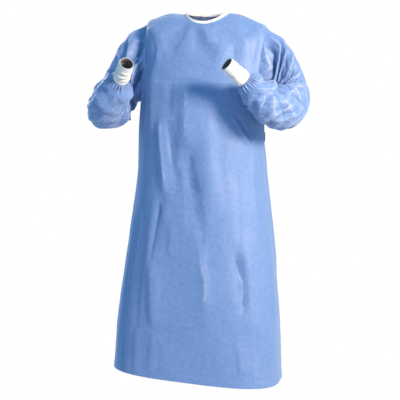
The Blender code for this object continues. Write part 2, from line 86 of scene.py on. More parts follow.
def creaseSum(across, perUnit, wrapAt, alongMetres, creases, riseShare, widthShare, tip):
    # Each crease is a chain of straight bits over the flat cloth. Its height is
    # rise * (1 - (sqrt(d*d + tip*tip) - tip) / (spread * width)) ** power, d being the distance to
    # the chain, and it is gone past the farthest distance. width is the first one on its left and
    # the second on its right, and the ends fade.
    # points give (across, along); across wraps at wrapAt, and perUnit turns it into metres.
    total = np.zeros(np.shape(alongMetres))
    for points, rise, widthLeft, widthRight, fade in creases:
        best = np.full(total.shape, 1e9)
        side = np.zeros(total.shape)
        share = np.zeros(total.shape)
        count = len(points) - 1
        for k in range(count):
            (u0, v0), (u1, v1) = points[k], points[k + 1]
            x = ((across - u0 + wrapAt / 2) % wrapAt - wrapAt / 2) * perUnit
            z = alongMetres - v0
            dx = (u1 - u0) * perUnit
            dz = v1 - v0
            long = np.maximum(dx * dx + dz * dz, 1e-9)
            t = np.clip((x * dx + z * dz) / long, 0.0, 1.0)
            away = np.hypot(x - t * dx, z - t * dz)
            nearer = away < best
            best = np.where(nearer, away, best)
            side = np.where(nearer, dx * z - dz * x, side)
            share = np.where(nearer, (k + t) / count, share)
        width = np.where(side > 0, widthRight, widthLeft) * widthShare
        rounded = np.sqrt(best * best + tip * tip) - tip
        fall = np.maximum(1 - rounded / (creaseForm["spread"] * width), 0.0) ** creaseForm["power"]
        fall = fall * np.exp(-((best / creaseForm["farthest"]) ** 4))
        total += rise * riseShare * fall * ease(share / fade) * ease((1 - share) / fade)
    return total


def waves(u, v, seed, count, shortest, longest, leanLow, leanHigh):
    # A mean of bent waves with seeded directions, lengths and phases: each is 1 - |sin|, a sharp-backed
    # ridge less its own mean, times a slow patchy wave and its length over the longest.
    rng = np.random.default_rng(seed)
    total = np.zeros(np.shape(u))
    for _ in range(count):
        lean = rng.uniform(leanLow, leanHigh)
        length = math.exp(rng.uniform(math.log(shortest), math.log(longest)))
        bend = rng.uniform(0.2, 0.6) * length
        phase, turnPhase = rng.uniform(0, 2 * math.pi, 2)
        far = u * math.cos(lean) + v * math.sin(lean)
        beside = v * math.cos(lean) - u * math.sin(lean)
        far = far + bend * np.sin(beside / (length * rng.uniform(1.6, 3.0)) + turnPhase)
        patch = 0.5 + 0.5 * np.sin(beside / (length * 2.3) + far / (length * 3.1) + phase * 3)
        ridge = 1 - np.abs(np.sin(math.pi * far / length + phase))
        total += (ridge - 0.36) * patch * length / longest
    return total / count


# The gown's shape, as in the frame. An angle runs round the body in degrees, 0 being the front and 90
# the wearer's left. A level runs up it: 0 is the hem, 1 to 2 the armholes, 3 the neckline.

body = {
    # level, heights at the side, front and back, middle, half width, depths, and the power of the curve
    "loops": np.array([
        (0.00, -1.216, -1.216, -1.216, -0.030, 0.283, 0.196, 0.182, 3.10),
        (0.25, -0.990, -0.990, -0.990, -0.025, 0.270, 0.186, 0.174, 2.70),
        (0.50, -0.755, -0.755, -0.755, -0.021, 0.243, 0.171, 0.163, 2.40),
        (0.75, -0.520, -0.520, -0.520, -0.020, 0.215, 0.158, 0.150, 2.35),
        (0.88, -0.400, -0.404, -0.402, -0.020, 0.212, 0.152, 0.140, 2.40),
        (1.00, -0.290, -0.300, -0.295, -0.014, 0.211, 0.142, 0.128, 2.45),
        (1.35, -0.200, -0.232, -0.220, -0.006, 0.212, 0.128, 0.116, 2.45),
        (1.70, -0.110, -0.172, -0.148, -0.003, 0.213, 0.114, 0.108, 2.40),
        (2.00, -0.042, -0.130, -0.095, 0.000, 0.203, 0.105, 0.101, 2.30),
        (2.30, -0.024, -0.104, -0.062, 0.000, 0.170, 0.098, 0.095, 2.20),
        (2.65, -0.006, -0.076, -0.030, 0.000, 0.121, 0.087, 0.084, 2.10),
        (3.00, -0.004, -0.044, -0.006, 0.000, 0.074, 0.070, 0.068, 2.00),
    ]),
    "names": ("level", "side", "front", "back", "x", "halfWidth", "frontDepth", "backDepth", "square"),
    "shoulderTilt": 0.065,  # drop towards the wearer's left, metres in a metre
    "hemTilt": 0.075,
    "sideSeam": {"left": 78.0, "right": -48.0},  # angles at the hem
    "armholeFront": 29.0,  # half widths of the armholes, in degrees
    "armholeBack": 27.0,
    "overlapTop": 26.0,  # how far each flap passes the middle of the back, in degrees
    "overlapHem": 17.0,
    "flapStep": 0.0030,  # how deep the under flap lies, and over how many degrees it gets there
    "flapFade": 16.0,
    "cloth": 0.0009,  # thickness of the drawn cloth
    "facingStep": (0.2, 0.004),  # degrees and levels between the points that give the surface's facing
    "seamFacingStep": (0.3, 0.006),
    "foldShare": 0.62,  # the folds' rises are taken times this
    "creaseShare": (0.80, 0.65, 0.0038),  # the creases' rises and widths times these, and their tip's radius
    # wide folds: angle and height at both ends, half width, how far they stand out
    "folds": (
        (-42, -0.030, -22, -0.150, 0.015, -0.008),
        (-56, -0.040, -36, -0.190, 0.020, 0.006),
        (-12, -0.045, 7, -0.170, 0.017, -0.008),
        (20, -0.050, 10, -0.210, 0.018, 0.006),
        (40, -0.040, 24, -0.200, 0.020, -0.005),
        (62, -0.050, 45, -0.200, 0.015, -0.008),
        (74, -0.080, 56, -0.230, 0.017, 0.007),
        (-64, -0.110, -56, -0.400, 0.022, -0.006),
        (-46, -0.160, -38, -0.460, 0.024, 0.006),
        (-27, -0.330, -18, -0.640, 0.022, 0.010),
        (-15, -0.400, -9, -0.620, 0.017, -0.008),
        (-7, -0.210, -3, -0.540, 0.020, 0.009),
        (-1, -0.430, 5, -0.680, 0.019, -0.009),
        (8, -0.300, 16, -0.640, 0.026, 0.008),
        (40, -0.480, 34, -0.800, 0.022, -0.006),
        (62, -0.420, 54, -0.780, 0.022, 0.008),
        (-23, -0.600, -25, -0.820, 0.016, -0.009),
        (-31, -0.600, -30, -1.000, 0.022, 0.008),
        (-25, -0.800, -17, -1.060, 0.020, 0.008),
        (9, -0.690, 9, -0.850, 0.015, -0.009),
        (5, -0.700, 7, -1.040, 0.022, 0.009),
        (33, -0.780, 35, -1.000, 0.018, -0.010),
        (43, -0.740, 41, -1.080, 0.026, 0.008),
        (-62, -0.600, -52, -1.180, 0.030, -0.007),
        (78, -0.620, 74, -1.180, 0.030, 0.008),
        (-84, -0.560, -78, -1.180, 0.028, 0.008),
        (108, -0.460, 116, -1.060, 0.034, 0.011),
        (132, -0.450, 138, -1.120, 0.034, -0.011),
        (152, -0.460, 156, -1.000, 0.030, 0.010),
        (-108, -0.460, -116, -1.060, 0.034, 0.011),
        (-134, -0.450, -140, -1.120, 0.034, -0.011),
        (-156, -0.460, -160, -0.980, 0.030, 0.010),
        (128, -0.080, 140, -0.330, 0.024, 0.008),
        (-128, -0.080, -140, -0.330, 0.024, 0.008),
        (160, -0.140, 164, -0.380, 0.022, -0.006),
        (-158, -0.160, -162, -0.380, 0.022, -0.006),
    ),
    # sharp creases: (angle, height) points from the top down, rise, width on the wearer's right and
    # on the wearer's left, share of the length over which the ends fade
    "creases": (
        (((-44, -0.030), (-28, -0.064), (-21, -0.098), (-22, -0.150)), -0.0050, 0.012, 0.005, 0.25),
        (((-2, -0.040), (4, -0.066), (6, -0.086), (8, -0.128)), 0.0075, 0.014, 0.013, 0.25),
        (((38, -0.039), (24, -0.067), (14, -0.117)), -0.0025, 0.006, 0.018, 0.3),
        (((66, -0.040), (48, -0.091), (47, -0.117), (42, -0.145)), -0.0045, 0.006, 0.010, 0.3),
        (((29, -0.108), (27, -0.165)), -0.0025, 0.008, 0.004, 0.4),
        (((-68, -0.072), (-62, -0.042), (-76, -0.010)), 0.0045, 0.010, 0.008, 0.25),
        (((-50, -0.048), (-38, -0.103), (-41, -0.158)), 0.0030, 0.008, 0.012, 0.3),
        (((-56, -0.070), (-44, -0.128), (-45, -0.176)), -0.0030, 0.010, 0.006, 0.3),
        (((-4, -0.112), (-3, -0.170)), -0.0020, 0.010, 0.008, 0.4),
        (((-19, -0.220), (-19, -0.278), (-20, -0.345)), -0.0030, 0.010, 0.006, 0.3),
        (((-13, -0.226), (-12, -0.300), (-13, -0.350)), 0.0028, 0.008, 0.008, 0.3),
        (((-5, -0.238), (-4, -0.297), (-3, -0.372), (2, -0.470), (7, -0.580), (11, -0.720)),
         0.0080, 0.013, 0.040, 0.14),
        (((-27, -0.350), (-25, -0.457), (-19, -0.621)), 0.0050, 0.014, 0.005, 0.2),
        (((-20, -0.353), (-16, -0.426), (-12, -0.520)), -0.0035, 0.005, 0.012, 0.25),
        (((-12, -0.446), (-8, -0.540)), 0.0035, 0.008, 0.004, 0.35),
        (((-2, -0.420), (0, -0.530), (3, -0.625)), -0.0040, 0.010, 0.006, 0.3),
        (((3, -0.620), (4, -0.745)), -0.0040, 0.014, 0.012, 0.35),
        (((-22, -0.620), (-21, -0.658), (-23, -0.718), (-24, -0.778), (-24, -0.835)),
         0.0060, 0.0045, 0.016, 0.2),
        (((-26, -0.815), (-23, -0.917), (-21, -0.973), (-16, -1.050)), 0.0065, 0.012, 0.030, 0.2),
        (((-14, -0.680), (-12, -0.748), (-12, -0.815)), 0.0030, 0.006, 0.012, 0.3),
        (((9, -0.670), (9, -0.765), (9, -0.840)), 0.0050, 0.0045, 0.012, 0.3),
        (((6, -0.746), (6, -0.826), (8, -0.893), (7, -1.000)), 0.0035, 0.005, 0.006, 0.25),
        (((37, -0.545), (34, -0.668), (33, -0.775)), 0.0030, 0.018, 0.007, 0.2),
        (((32, -0.780), (34, -0.836), (38, -0.885), (38, -0.923), (34, -0.995)),
         -0.0060, 0.006, 0.018, 0.2),
        (((58, -0.435), (54, -0.620), (50, -0.760)), -0.0032, 0.022, 0.009, 0.15),
        (((72, -0.440), (66, -0.640), (60, -0.770)), 0.0030, 0.010, 0.012, 0.2),
        (((-17, -1.040), (-16, -1.215)), 0.0050, 0.010, 0.020, 0.3),
        (((-9, -1.070), (-7, -1.210)), 0.0035, 0.008, 0.016, 0.3),
        (((28, -1.060), (31, -1.200)), 0.0040, 0.010, 0.022, 0.3),
        (((46, -1.020), (50, -1.210)), -0.0035, 0.014, 0.014, 0.3),
        (((28, -0.335), (42, -0.394), (59, -0.446)), 0.0040, 0.010, 0.005, 0.2),
        (((38, -0.345), (50, -0.398), (61, -0.446)), -0.0035, 0.008, 0.006, 0.2),
        (((55, -0.350), (64, -0.401), (72, -0.452)), 0.0035, 0.008, 0.006, 0.2),
        (((8, -0.405), (22, -0.412), (38, -0.427)), -0.0010, 0.006, 0.004, 0.3),
        (((-49, -0.600), (-50, -0.840), (-47, -1.100), (-46, -1.216)), -0.0060, 0.012, 0.014, 0.2),
        (((-62, -0.620), (-62, -0.860), (-58, -1.216)), 0.0065, 0.012, 0.014, 0.2),
        (((-38, -0.720), (-36, -0.900), (-33, -1.100)), -0.0030, 0.020, 0.010, 0.25),
        (((-33, -1.020), (-28, -1.210)), 0.0035, 0.012, 0.012, 0.35),
        (((-50, -0.140), (-56, -0.250), (-54, -0.400)), -0.0050, 0.014, 0.012, 0.2),
        (((90, -0.330), (84, -0.500), (86, -0.700)), 0.0040, 0.012, 0.010, 0.2),
        (((-92, -0.330), (-88, -0.520), (-90, -0.700)), 0.0040, 0.010, 0.012, 0.2),
        (((-76, -0.560), (-80, -0.800), (-76, -1.050)), -0.0050, 0.012, 0.010, 0.2),
        # the back, drawn in at the waist by the ties
        (((112, -0.050), (126, -0.150), (134, -0.300)), 0.0050, 0.010, 0.008, 0.25),
        (((142, -0.060), (150, -0.200), (150, -0.360)), -0.0040, 0.010, 0.010, 0.25),
        (((-112, -0.050), (-126, -0.150), (-134, -0.300)), 0.0050, 0.008, 0.010, 0.25),
        (((-142, -0.060), (-150, -0.200), (-150, -0.360)), -0.0040, 0.010, 0.010, 0.25),
        (((98, -0.420), (106, -0.640), (104, -0.900)), 0.0060, 0.012, 0.010, 0.15),
        (((118, -0.425), (124, -0.640), (126, -0.930), (122, -1.150)), -0.0060, 0.012, 0.014, 0.15),
        (((136, -0.425), (142, -0.660), (140, -0.980)), 0.0070, 0.010, 0.014, 0.15),
        (((154, -0.425), (160, -0.600), (164, -0.860)), -0.0055, 0.010, 0.008, 0.15),
        (((168, -0.425), (172, -0.560), (176, -0.760)), 0.0045, 0.008, 0.008, 0.2),
        (((-98, -0.420), (-106, -0.640), (-104, -0.900)), 0.0060, 0.010, 0.012, 0.15),
        (((-118, -0.425), (-122, -0.640), (-126, -0.930), (-124, -1.150)), -0.0060, 0.014, 0.012, 0.15),
        (((-138, -0.425), (-144, -0.660), (-142, -0.980)), 0.0070, 0.014, 0.010, 0.15),
        (((-156, -0.425), (-162, -0.600), (-164, -0.860)), -0.0055, 0.008, 0.010, 0.15),
        (((-170, -0.425), (-174, -0.560), (-176, -0.760)), 0.0045, 0.008, 0.008, 0.2),
        (((126, -0.405), (130, -0.330), (128, -0.240)), 0.0040, 0.008, 0.010, 0.25),
        (((148, -0.405), (152, -0.320)), 0.0040, 0.007, 0.009, 0.3),
        (((-128, -0.405), (-132, -0.330), (-130, -0.240)), 0.0040, 0.010, 0.008, 0.25),
        (((-150, -0.405), (-154, -0.320)), 0.0040, 0.009, 0.007, 0.3),
    ),
    # lines left by folding the gown flat in its pack: the heights of the cross lines and the angles
    # of the long ones
    "packLines": ((-0.690, -1.078), (6.0, 96.0, -98.0)),
    "packRise": 0.0004,
    "packWidth": 0.0025,  # a line falls to about a third of its rise in this distance
    # fine crumple: rise, seed, number of waves, shortest and longest, least and greatest lean
    "crumple": (
        (0.0034, 5, 9, 0.030, 0.085, -0.7, 0.5),
        (0.0030, 11, 8, 0.012, 0.032, -1.2, 1.2),
    ),
    "crumpleRadius": 0.20,  # of the circle that the angles are unrolled from
    "seamDip": 0.0011,  # how far the cloth dips at a seam, and how soon it is up again
    "seamWidth": 0.0028,
    "hemRise": 0.0007,  # the turned-up hem stands this much prouder, over this much of the cloth
    "hemDepth": 0.022,
}


def loopValue(level, name):
    # a column of the loops, read smoothly at any level
    loops = body["loops"]
    return smoothThrough(level, loops[:, 0], loops[:, body["names"].index(name)])


def bodyBase(angle, level):
    # a loop is x + a |sin|^(2/n), -b |cos|^(2/n), its height running from that of the side to that of
    # the front or back by |cos|^1.5, and tilted sideways at the shoulders and at the hem
    turn = np.radians(angle)
    s, c = np.sin(turn), np.cos(turn)
    power = 2.0 / loopValue(level, "square")
    x = loopValue(level, "x") + loopValue(level, "halfWidth") * np.sign(s) * np.abs(s) ** power
    depth = np.where(c > 0, loopValue(level, "frontDepth"), loopValue(level, "backDepth"))
    y = -depth * np.sign(c) * np.abs(c) ** power
    side = loopValue(level, "side")
    z = side + (loopValue(level, "front") - side) * np.maximum(c, 0) ** 1.5
    z = z + (loopValue(level, "back") - side) * np.maximum(-c, 0) ** 1.5
    z = z - body["shoulderTilt"] * x * ease((level - 1.0) / 0.8) * ease((3.0 - level) / 0.5)
    z = z - body["hemTilt"] * x * ease(1 - level / 0.9)
    return np.stack([x, y, z], -1)


def panelEdge(side, face, level):
    # where the front or the back panel ends: the side seam below, half of an ellipse at the armhole
    sign = 1 if side == "left" else -1
    start = body["sideSeam"][side]
    seam = start + (sign * 90.0 - start) * np.clip(level, 0, 1) ** 1.3
    widest = body["armholeFront"] if face == "front" else -body["armholeBack"]
    swing = np.sqrt(np.clip(1 - ((level - 1.5) / 0.5) ** 2, 0, 1))
    return np.where(level < 1.0, seam, sign * (90.0 - widest * swing))


def wideFolds(at, angle, level):
    # each fold is rise * exp(-(distance / width)^2) round a line that leans, fading at both ends
    reach = 0.5 * (loopValue(level, "halfWidth") + loopValue(level, "frontDepth"))
    moved = np.zeros(np.shape(at)[:-1])
    for angle0, height0, angle1, height1, width, rise in body["folds"]:
        share = (at[..., 2] - height0) / (height1 - height0)
        middle = angle0 + (angle1 - angle0) * np.clip(share, -0.2, 1.2)
        off = (angle - middle + 180.0) % 360.0 - 180.0
        off = np.radians(off) * reach / width
        moved += rise * np.exp(-off * off) * ease((share + 0.12) / 0.4) * ease((1.12 - share) / 0.5)
    return moved * body["foldShare"]


def bodyDetail(angle, level):
    # wide folds + sharp creases + broken packing lines + fine crumple, faded at the neckline
    at = bodyBase(angle, level)
    reach = 0.5 * (loopValue(level, "halfWidth") + loopValue(level, "frontDepth"))
    height = at[..., 2]
    moved = wideFolds(at, angle, level)
    moved = moved + creaseSum(angle, np.radians(reach), 360.0, height, body["creases"], *body["creaseShare"])
    u, v = np.radians(angle) * body["crumpleRadius"], height
    heights, angles = body["packLines"]
    broken = 0.55 + 0.45 * np.sin(31 * u + 3 * np.sin(17 * v))
    for z in heights:
        off = height - z - 0.004 * np.sin(9 * u)
        moved = moved + body["packRise"] * broken * np.exp(-np.abs(off) / body["packWidth"])
    for turned in angles:
        off = np.radians((angle - turned + 180.0) % 360.0 - 180.0) * reach
        line = body["packRise"] * broken * np.exp(-np.abs(off) / body["packWidth"])
        moved = moved + line * ease((-0.45 - height) / 0.2)
    for rise, *draw in body["crumple"]:
        moved = moved + rise * waves(u, v, *draw)
    return moved * ease((3.0 - level) / 0.35)


def bodySurface(angle, level):
    # the smooth loops, moved out by the detail
    angle, level = np.broadcast_arrays(np.asarray(angle, float), np.asarray(level, float))
    out = facing(bodyBase, angle, level, *body["facingStep"])
    return bodyBase(angle, level) + out * bodyDetail(angle, level)[..., None]


def bodyFacing(angle, level):
    # which way the smooth loops face, for what lies on the seams
    angle, level = np.broadcast_arrays(np.asarray(angle, float), np.asarray(level, float))
    return facing(bodyBase, angle, level, *body["seamFacingStep"])


# meshes


def gridNormals(rows, closed):
    # the cross product of the differences along both ways of the grid
    if closed:
        du = np.roll(rows, -1, 1) - np.roll(rows, 1, 1)
    else:
        du = np.gradient(rows, axis=1)
    dv = np.gradient(rows, axis=0)
    return unit(np.cross(du, dv))


def flatCoordinates(rows, closed):
    # metres along the cloth: u from the middle column along each row, v along each column
    wide = np.concatenate([rows, rows[:, :1]], 1) if closed else rows
    du = np.linalg.norm(np.diff(wide, axis=1), axis=-1)
    u = np.concatenate([np.zeros((len(wide), 1)), np.cumsum(du, 1)], 1)
    u = u - u[:, wide.shape[1] // 2][:, None]
    dv = np.linalg.norm(np.diff(wide, axis=0), axis=-1).mean(1)
    v = np.concatenate([[0.0], np.cumsum(dv)])[:, None] + 0 * u
    return np.stack([u, v], -1)


def gridFaces(uv, count, wide, reach):
    # the four corners of each cell of a grid, count rows of wide points, and the UVs of those corners
    r, c = np.meshgrid(np.arange(count - 1), np.arange(reach), indexing="ij")
    nextC = (c + 1) % wide
    ids = [r * wide + c, r * wide + nextC, (r + 1) * wide + nextC, (r + 1) * wide + c]
    uvs = [uv[r, c], uv[r, c + 1], uv[r + 1, c + 1], uv[r + 1, c]]
    return np.stack(ids, -1).reshape(-1, 4), np.stack(uvs, 2).reshape(-1, 4, 2)


def meshFrom(name, points, quads, cornerUv, attributes, sharp):
    # a mesh of quads with a UV for each corner, numbers for each point, and edges past sharp degrees
    mesh = bpy.data.meshes.new(name)
    mesh.vertices.add(len(points))
    mesh.vertices.foreach_set("co", np.asarray(points, np.float32).ravel())
    mesh.loops.add(quads.size)
    mesh.loops.foreach_set("vertex_index", quads.astype(np.int32).ravel())
    mesh.polygons.add(len(quads))
    mesh.polygons.foreach_set("loop_start", np.arange(0, quads.size, quads.shape[1], dtype=np.int32))
    mesh.update(calc_edges=True)
    uv = mesh.uv_layers.new(name="cloth")
    uv.data.foreach_set("uv", np.asarray(cornerUv, np.float32).ravel())
    for key, values in attributes.items():
        made = mesh.attributes.new(key, "FLOAT", "POINT")
        made.data.foreach_set("value", np.asarray(values, np.float32).ravel())
    mesh.shade_smooth()
    mesh.set_sharp_from_angle(angle=math.radians(sharp))
    made = bpy.data.objects.new(name, mesh)
    bpy.context.scene.collection.objects.link(made)
    return made


def shell(name, rows, wall, closed=False, flip=False, attributes=None, sharp=75):
    # A wall under a grid of points: the outside, the inside moved in by wall, and a rim round it.
    # Each grid cell is one face; a rim face joins a border edge to the same edge inside.
    count, wide = rows.shape[:2]
    normals = gridNormals(rows, closed) * (-1 if flip else 1)
    inner = rows - wall * normals
    uv = flatCoordinates(rows, closed)
    reach = wide if closed else wide - 1
    ids, uvs = gridFaces(uv, count, wide, reach)
    shift = count * wide
    outside = (ids[:, ::-1], uvs[:, ::-1]) if flip else (ids, uvs)
    inside = (ids + shift, uvs) if flip else (ids[:, ::-1] + shift, uvs[:, ::-1])
    faces, corners = [outside[0], inside[0]], [outside[1], inside[1]]
    k = np.arange(reach)
    last = (count - 1) * wide
    edges = [
        (k, (k + 1) % wide, uv[0, k], uv[0, k + 1]),
        (last + (k + 1) % wide, last + k, uv[-1, k + 1], uv[-1, k]),
    ]
    if not closed:
        j = np.arange(count - 1)
        edges.append(((j + 1) * wide, j * wide, uv[j + 1, 0], uv[j, 0]))
        edges.append((j * wide + wide - 1, (j + 1) * wide + wide - 1, uv[j, -1], uv[j + 1, -1]))
    for a, b, uvA, uvB in edges:
        quad = np.stack([b, a, a + shift, b + shift], -1)
        quadUv = np.stack([uvB, uvA, uvA, uvB], 1)
        faces.append(quad[:, ::-1] if flip else quad)
        corners.append(quadUv[:, ::-1] if flip else quadUv)
    points = np.concatenate([rows.reshape(-1, 3), inner.reshape(-1, 3)])
    extra = {key: np.concatenate([np.ravel(v), np.ravel(v)]) for key, v in (attributes or {}).items()}
    extra["inner"] = np.repeat((0.0, 1.0), count * wide)
    return meshFrom(name, points, np.concatenate(faces), np.concatenate(corners), extra, sharp)


def facesIn(rows):
    # whether a closed grid's normals point at its own middle line
    away = rows - rows.mean(1, keepdims=True)
    return float(np.mean(np.sum(gridNormals(rows, True) * away, -1))) < 0


def bendOf(rows, closed, blurs=0):
    # how sharply the cloth is folded outwards: minus the second difference along the normal, per cell,
    # each blur being a weighted mean with the four next to it
    normals = gridNormals(rows, closed)
    if closed:
        second = np.roll(rows, -1, 1) + np.roll(rows, 1, 1) - 2 * rows
    else:
        second = np.zeros_like(rows)
        second[:, 1:-1] = rows[:, 2:] + rows[:, :-2] - 2 * rows[:, 1:-1]
    down = np.zeros_like(rows)
    down[1:-1] = rows[2:] + rows[:-2] - 2 * rows[1:-1]
    bend = -np.sum((second + down) * normals, -1)
    for _ in range(blurs):
        wide = np.pad(bend, 1, mode="edge")
        bend = (2 * bend + wide[2:, 1:-1] + wide[:-2, 1:-1] + 0.5 * (wide[1:-1, 2:] + wide[1:-1, :-2])) / 5
    return bend


# shader maths


class Wire:
    # one socket of a node tree; an operator adds its Math node and gives back that node's socket
    def __init__(self, tree, socket):
        self.tree, self.socket = tree, socket

    def mathNode(self, operation, first, second=0.0):
        node = self.tree.nodes.new("ShaderNodeMath")
        node.operation = operation
        for slot, value in zip(node.inputs, (first, second)):
            if isinstance(value, Wire):
                self.tree.links.new(value.socket, slot)
            else:
                slot.default_value = value
        return Wire(self.tree, node.outputs[0])

    def __add__(self, other):
        return self.mathNode("ADD", self, other)

    def __radd__(self, other):
        return self.mathNode("ADD", other, self)

    def __sub__(self, other):
        return self.mathNode("SUBTRACT", self, other)

    def __rsub__(self, other):
        return self.mathNode("SUBTRACT", other, self)

    def __mul__(self, other):
        return self.mathNode("MULTIPLY", self, other)

    def __rmul__(self, other):
        return self.mathNode("MULTIPLY", other, self)

    def __pow__(self, other):
        return self.mathNode("POWER", self, other)

    def sine(self):
        return self.mathNode("SINE", self)

    def absolute(self):
        return self.mathNode("ABSOLUTE", self)

    def fraction(self):
        return self.mathNode("FRACT", self)


class Finish:
    # a material with its Principled shader, and one method for any other node
    def __init__(self, name, constants):
        self.material = bpy.data.materials.new(name)
        self.material.use_nodes = True
        self.tree = self.material.node_tree
        self.shader = self.tree.nodes["Principled BSDF"]
        for key, value in constants.items():
            self.shader.inputs[key].default_value = value

    def node(self, kind, settings=None, values=None, output=0):
        # a node of any kind: its settings, then its sockets' values or wires; it gives one output
        made = self.tree.nodes.new(kind)
        for key, value in (settings or {}).items():
            setattr(made, key, value)
        for key, value in (values or {}).items():
            if isinstance(value, Wire):
                self.tree.links.new(value.socket, made.inputs[key])
            else:
                made.inputs[key].default_value = value
        return Wire(self.tree, made.outputs[output])

    def feed(self, key, wire):
        # a wire into one of the shader's own sockets
        self.tree.links.new(wire.socket, self.shader.inputs[key])

    def mixColour(self, factor, first, second):
        # sockets 0, 6 and 7 are the factor and the two colours, and output 2 is the colour
        return self.node("ShaderNodeMix", {"data_type": "RGBA"}, {0: factor, 6: first, 7: second}, 2)

    def step(self, wire, low, high):
        # 0 below low, 1 above high, smooth between
        return self.node("ShaderNodeMapRange", {"interpolation_type": "SMOOTHSTEP"},
                         {"Value": wire, "From Min": low, "From Max": high})

    def noise(self, vector, scale, detail=2.0, rough=0.5):
        return self.node("ShaderNodeTexNoise", {},
                         {"Vector": vector, "Scale": scale, "Detail": detail, "Roughness": rough})

    def clothUv(self):
        # the cloth's own coordinates in metres, as a vector and as u and v
        uv = self.node("ShaderNodeUVMap", {"uv_map": "cloth"})
        u = self.node("ShaderNodeSeparateXYZ", {}, {"Vector": uv})
        return uv, u, Wire(self.tree, u.socket.node.outputs[1])

    def joined(self, x, y, z=0.0):
        # three numbers as one vector
        return self.node("ShaderNodeCombineXYZ", {}, {"X": x, "Y": y, "Z": z})

    def numberOf(self, name):
        # a number kept for each point of the mesh
        return self.node("ShaderNodeAttribute", {"attribute_name": name}, {}, 2)

    def relief(self, height, distance, strength):
        # a height in the given distance of metres, bumped into the shader's normal
        values = {"Height": height, "Distance": distance, "Strength": strength}
        self.feed("Normal", self.node("ShaderNodeBump", {}, values))


gownFinish = {
    "deep": (0.092, 0.195, 0.445, 1.0),
    "pale": (0.155, 0.250, 0.520, 1.0),
    # painted highlight, pale and lavender, laid on the backs of the creases
    "worn": (0.460, 0.490, 0.660, 1.0),  # on the backs of the creases
    # painted shade for the crease valleys
    "valleyShade": (0.040, 0.105, 0.280, 1.0),
    "weld": (0.055, 0.175, 0.46, 1.0),  # along the seams
    "dotPitch": 0.0036,
    "streaks": (220.0, 38.0, 0.55),  # noise cells in a metre across and along, and their lean
    "clouds": 75.0,
    "broad": 9.0,
    "fibres": (2400.0, 700.0),
    "stitchTurn": 2100.0,
    "roughness": 0.58,
    "relief": (0.00042, 0.55),  # depth and strength
    "constants": {
        "Specular IOR Level": 0.8,
        "Sheen Weight": 0.35,
        "Sheen Roughness": 0.6,
        "Sheen Tint": (0.86, 0.90, 1.0, 1.0),
    },
}


def gownCloth(name):
    # blue non-woven cloth: welded dots in a diagonal net, fibre streaks, clouds of denser fibre,
    # a painted highlight on the sharp folds, painted shade in the valleys, and darker welds along the seams
    kit = gownFinish
    m = Finish(name, kit["constants"])
    uv, u, v = m.clothUv()
    netA = ((u + v) * (1 / kit["dotPitch"])).fraction() - 0.5
    netB = ((u - v) * (1 / kit["dotPitch"])).fraction() - 0.5
    dot = 1 - m.step((netA * netA + netB * netB * 1.9) ** 0.5, 0.16, 0.34)
    fine, coarse, lean = kit["streaks"]
    streaks = m.noise(m.joined((u + v * lean) * fine, (v - u * lean) * coarse), 1.0, 3.0, 0.6)
    clouds = m.noise(uv, kit["clouds"], 3.0, 0.55)
    broad = m.noise(uv, kit["broad"], 2.0, 0.5)
    fibres = m.noise(m.joined(u * kit["fibres"][0], v * kit["fibres"][1]), 1.0, 3.0, 0.65)
    bend, seam = m.numberOf("bend"), m.numberOf("seam")
    shade = m.step(streaks * 0.45 + clouds * 0.35 + broad * 0.2, 0.36, 0.66)
    colour = m.mixColour(shade, kit["deep"], kit["pale"])
    # painted highlight on the crease crests, stronger where the clouds are
    worn = m.step(bend, 0.35, 1.20) * (0.35 + 0.5 * clouds)
    colour = m.mixColour(worn * 0.60, colour, kit["worn"])
    # painted shade in the crease valleys, where the cloth bends inward
    colour = m.mixColour(m.step(0.0 - bend, 0.30, 1.10) * 0.70, colour, kit["valleyShade"])
    colour = m.mixColour(dot * 0.34, colour, kit["deep"])
    weld = (1 - m.step(seam, 0.0010, 0.0022)) * 0.45
    m.feed("Base Color", m.mixColour(weld, colour, kit["weld"]))
    m.feed("Roughness", kit["roughness"] + 0.16 * (clouds - 0.5) - 0.12 * dot)
    stitches = ((u + v) * kit["stitchTurn"]).sine() * (1 - m.step(seam, 0.0030, 0.0048))
    m.relief(fibres * 0.50 - dot * 0.75 + streaks * 0.9 + stitches * 0.25, *kit["relief"])
    return m.material


knitFinish = {
    "light": (0.90, 0.85, 0.82, 1.0),
    "shade": (0.66, 0.60, 0.57, 1.0),
    # painted shade for the cuff's inner wall, which lies in the shade of the opening
    "inside": (0.20, 0.18, 0.17, 1.0),
    "loopTurn": (1250.0, 4200.0),  # radians in a metre round the cuff and along it
    "fuzz": 900.0,
    "wear": 60.0,
    "roughness": 0.84,
    "relief": (0.0005, 0.6),
    "constants": {"Specular IOR Level": 0.30, "Sheen Weight": 0.25, "Sheen Roughness": 0.6},
}


def whiteKnit(name):
    # rib knit: columns of slanting loops, the loops read from the rib phase and the length
    kit = knitFinish
    m = Finish(name, kit["constants"])
    uv, u, v = m.clothUv()
    rib = m.numberOf("rib")
    lean = (u * kit["loopTurn"][0]).sine().absolute()
    loops = (v * kit["loopTurn"][1] + lean * 2.2).sine() * 0.5 + 0.5
    fuzz = m.noise(uv, kit["fuzz"], 3.0, 0.6)
    wear = m.noise(uv, kit["wear"], 2.0, 0.5)
    # painted shade in the grooves between the ribs and lighter rib tops; the loops and the wear noise vary
    # the tone
    tone = m.step(rib * 0.75 + loops * 0.18 + wear * 0.2, 0.15, 0.85)
    colour = m.mixColour(tone, kit["shade"], kit["light"])
    # the cuff's inner wall takes the painted shade colour
    m.feed("Base Color", m.mixColour(m.numberOf("inner"), colour, kit["inside"]))
    m.feed("Roughness", kit["roughness"] + 0.1 * fuzz)
    m.relief(rib * 0.6 + loops * 0.5 + fuzz * 0.35, *kit["relief"])
    return m.material


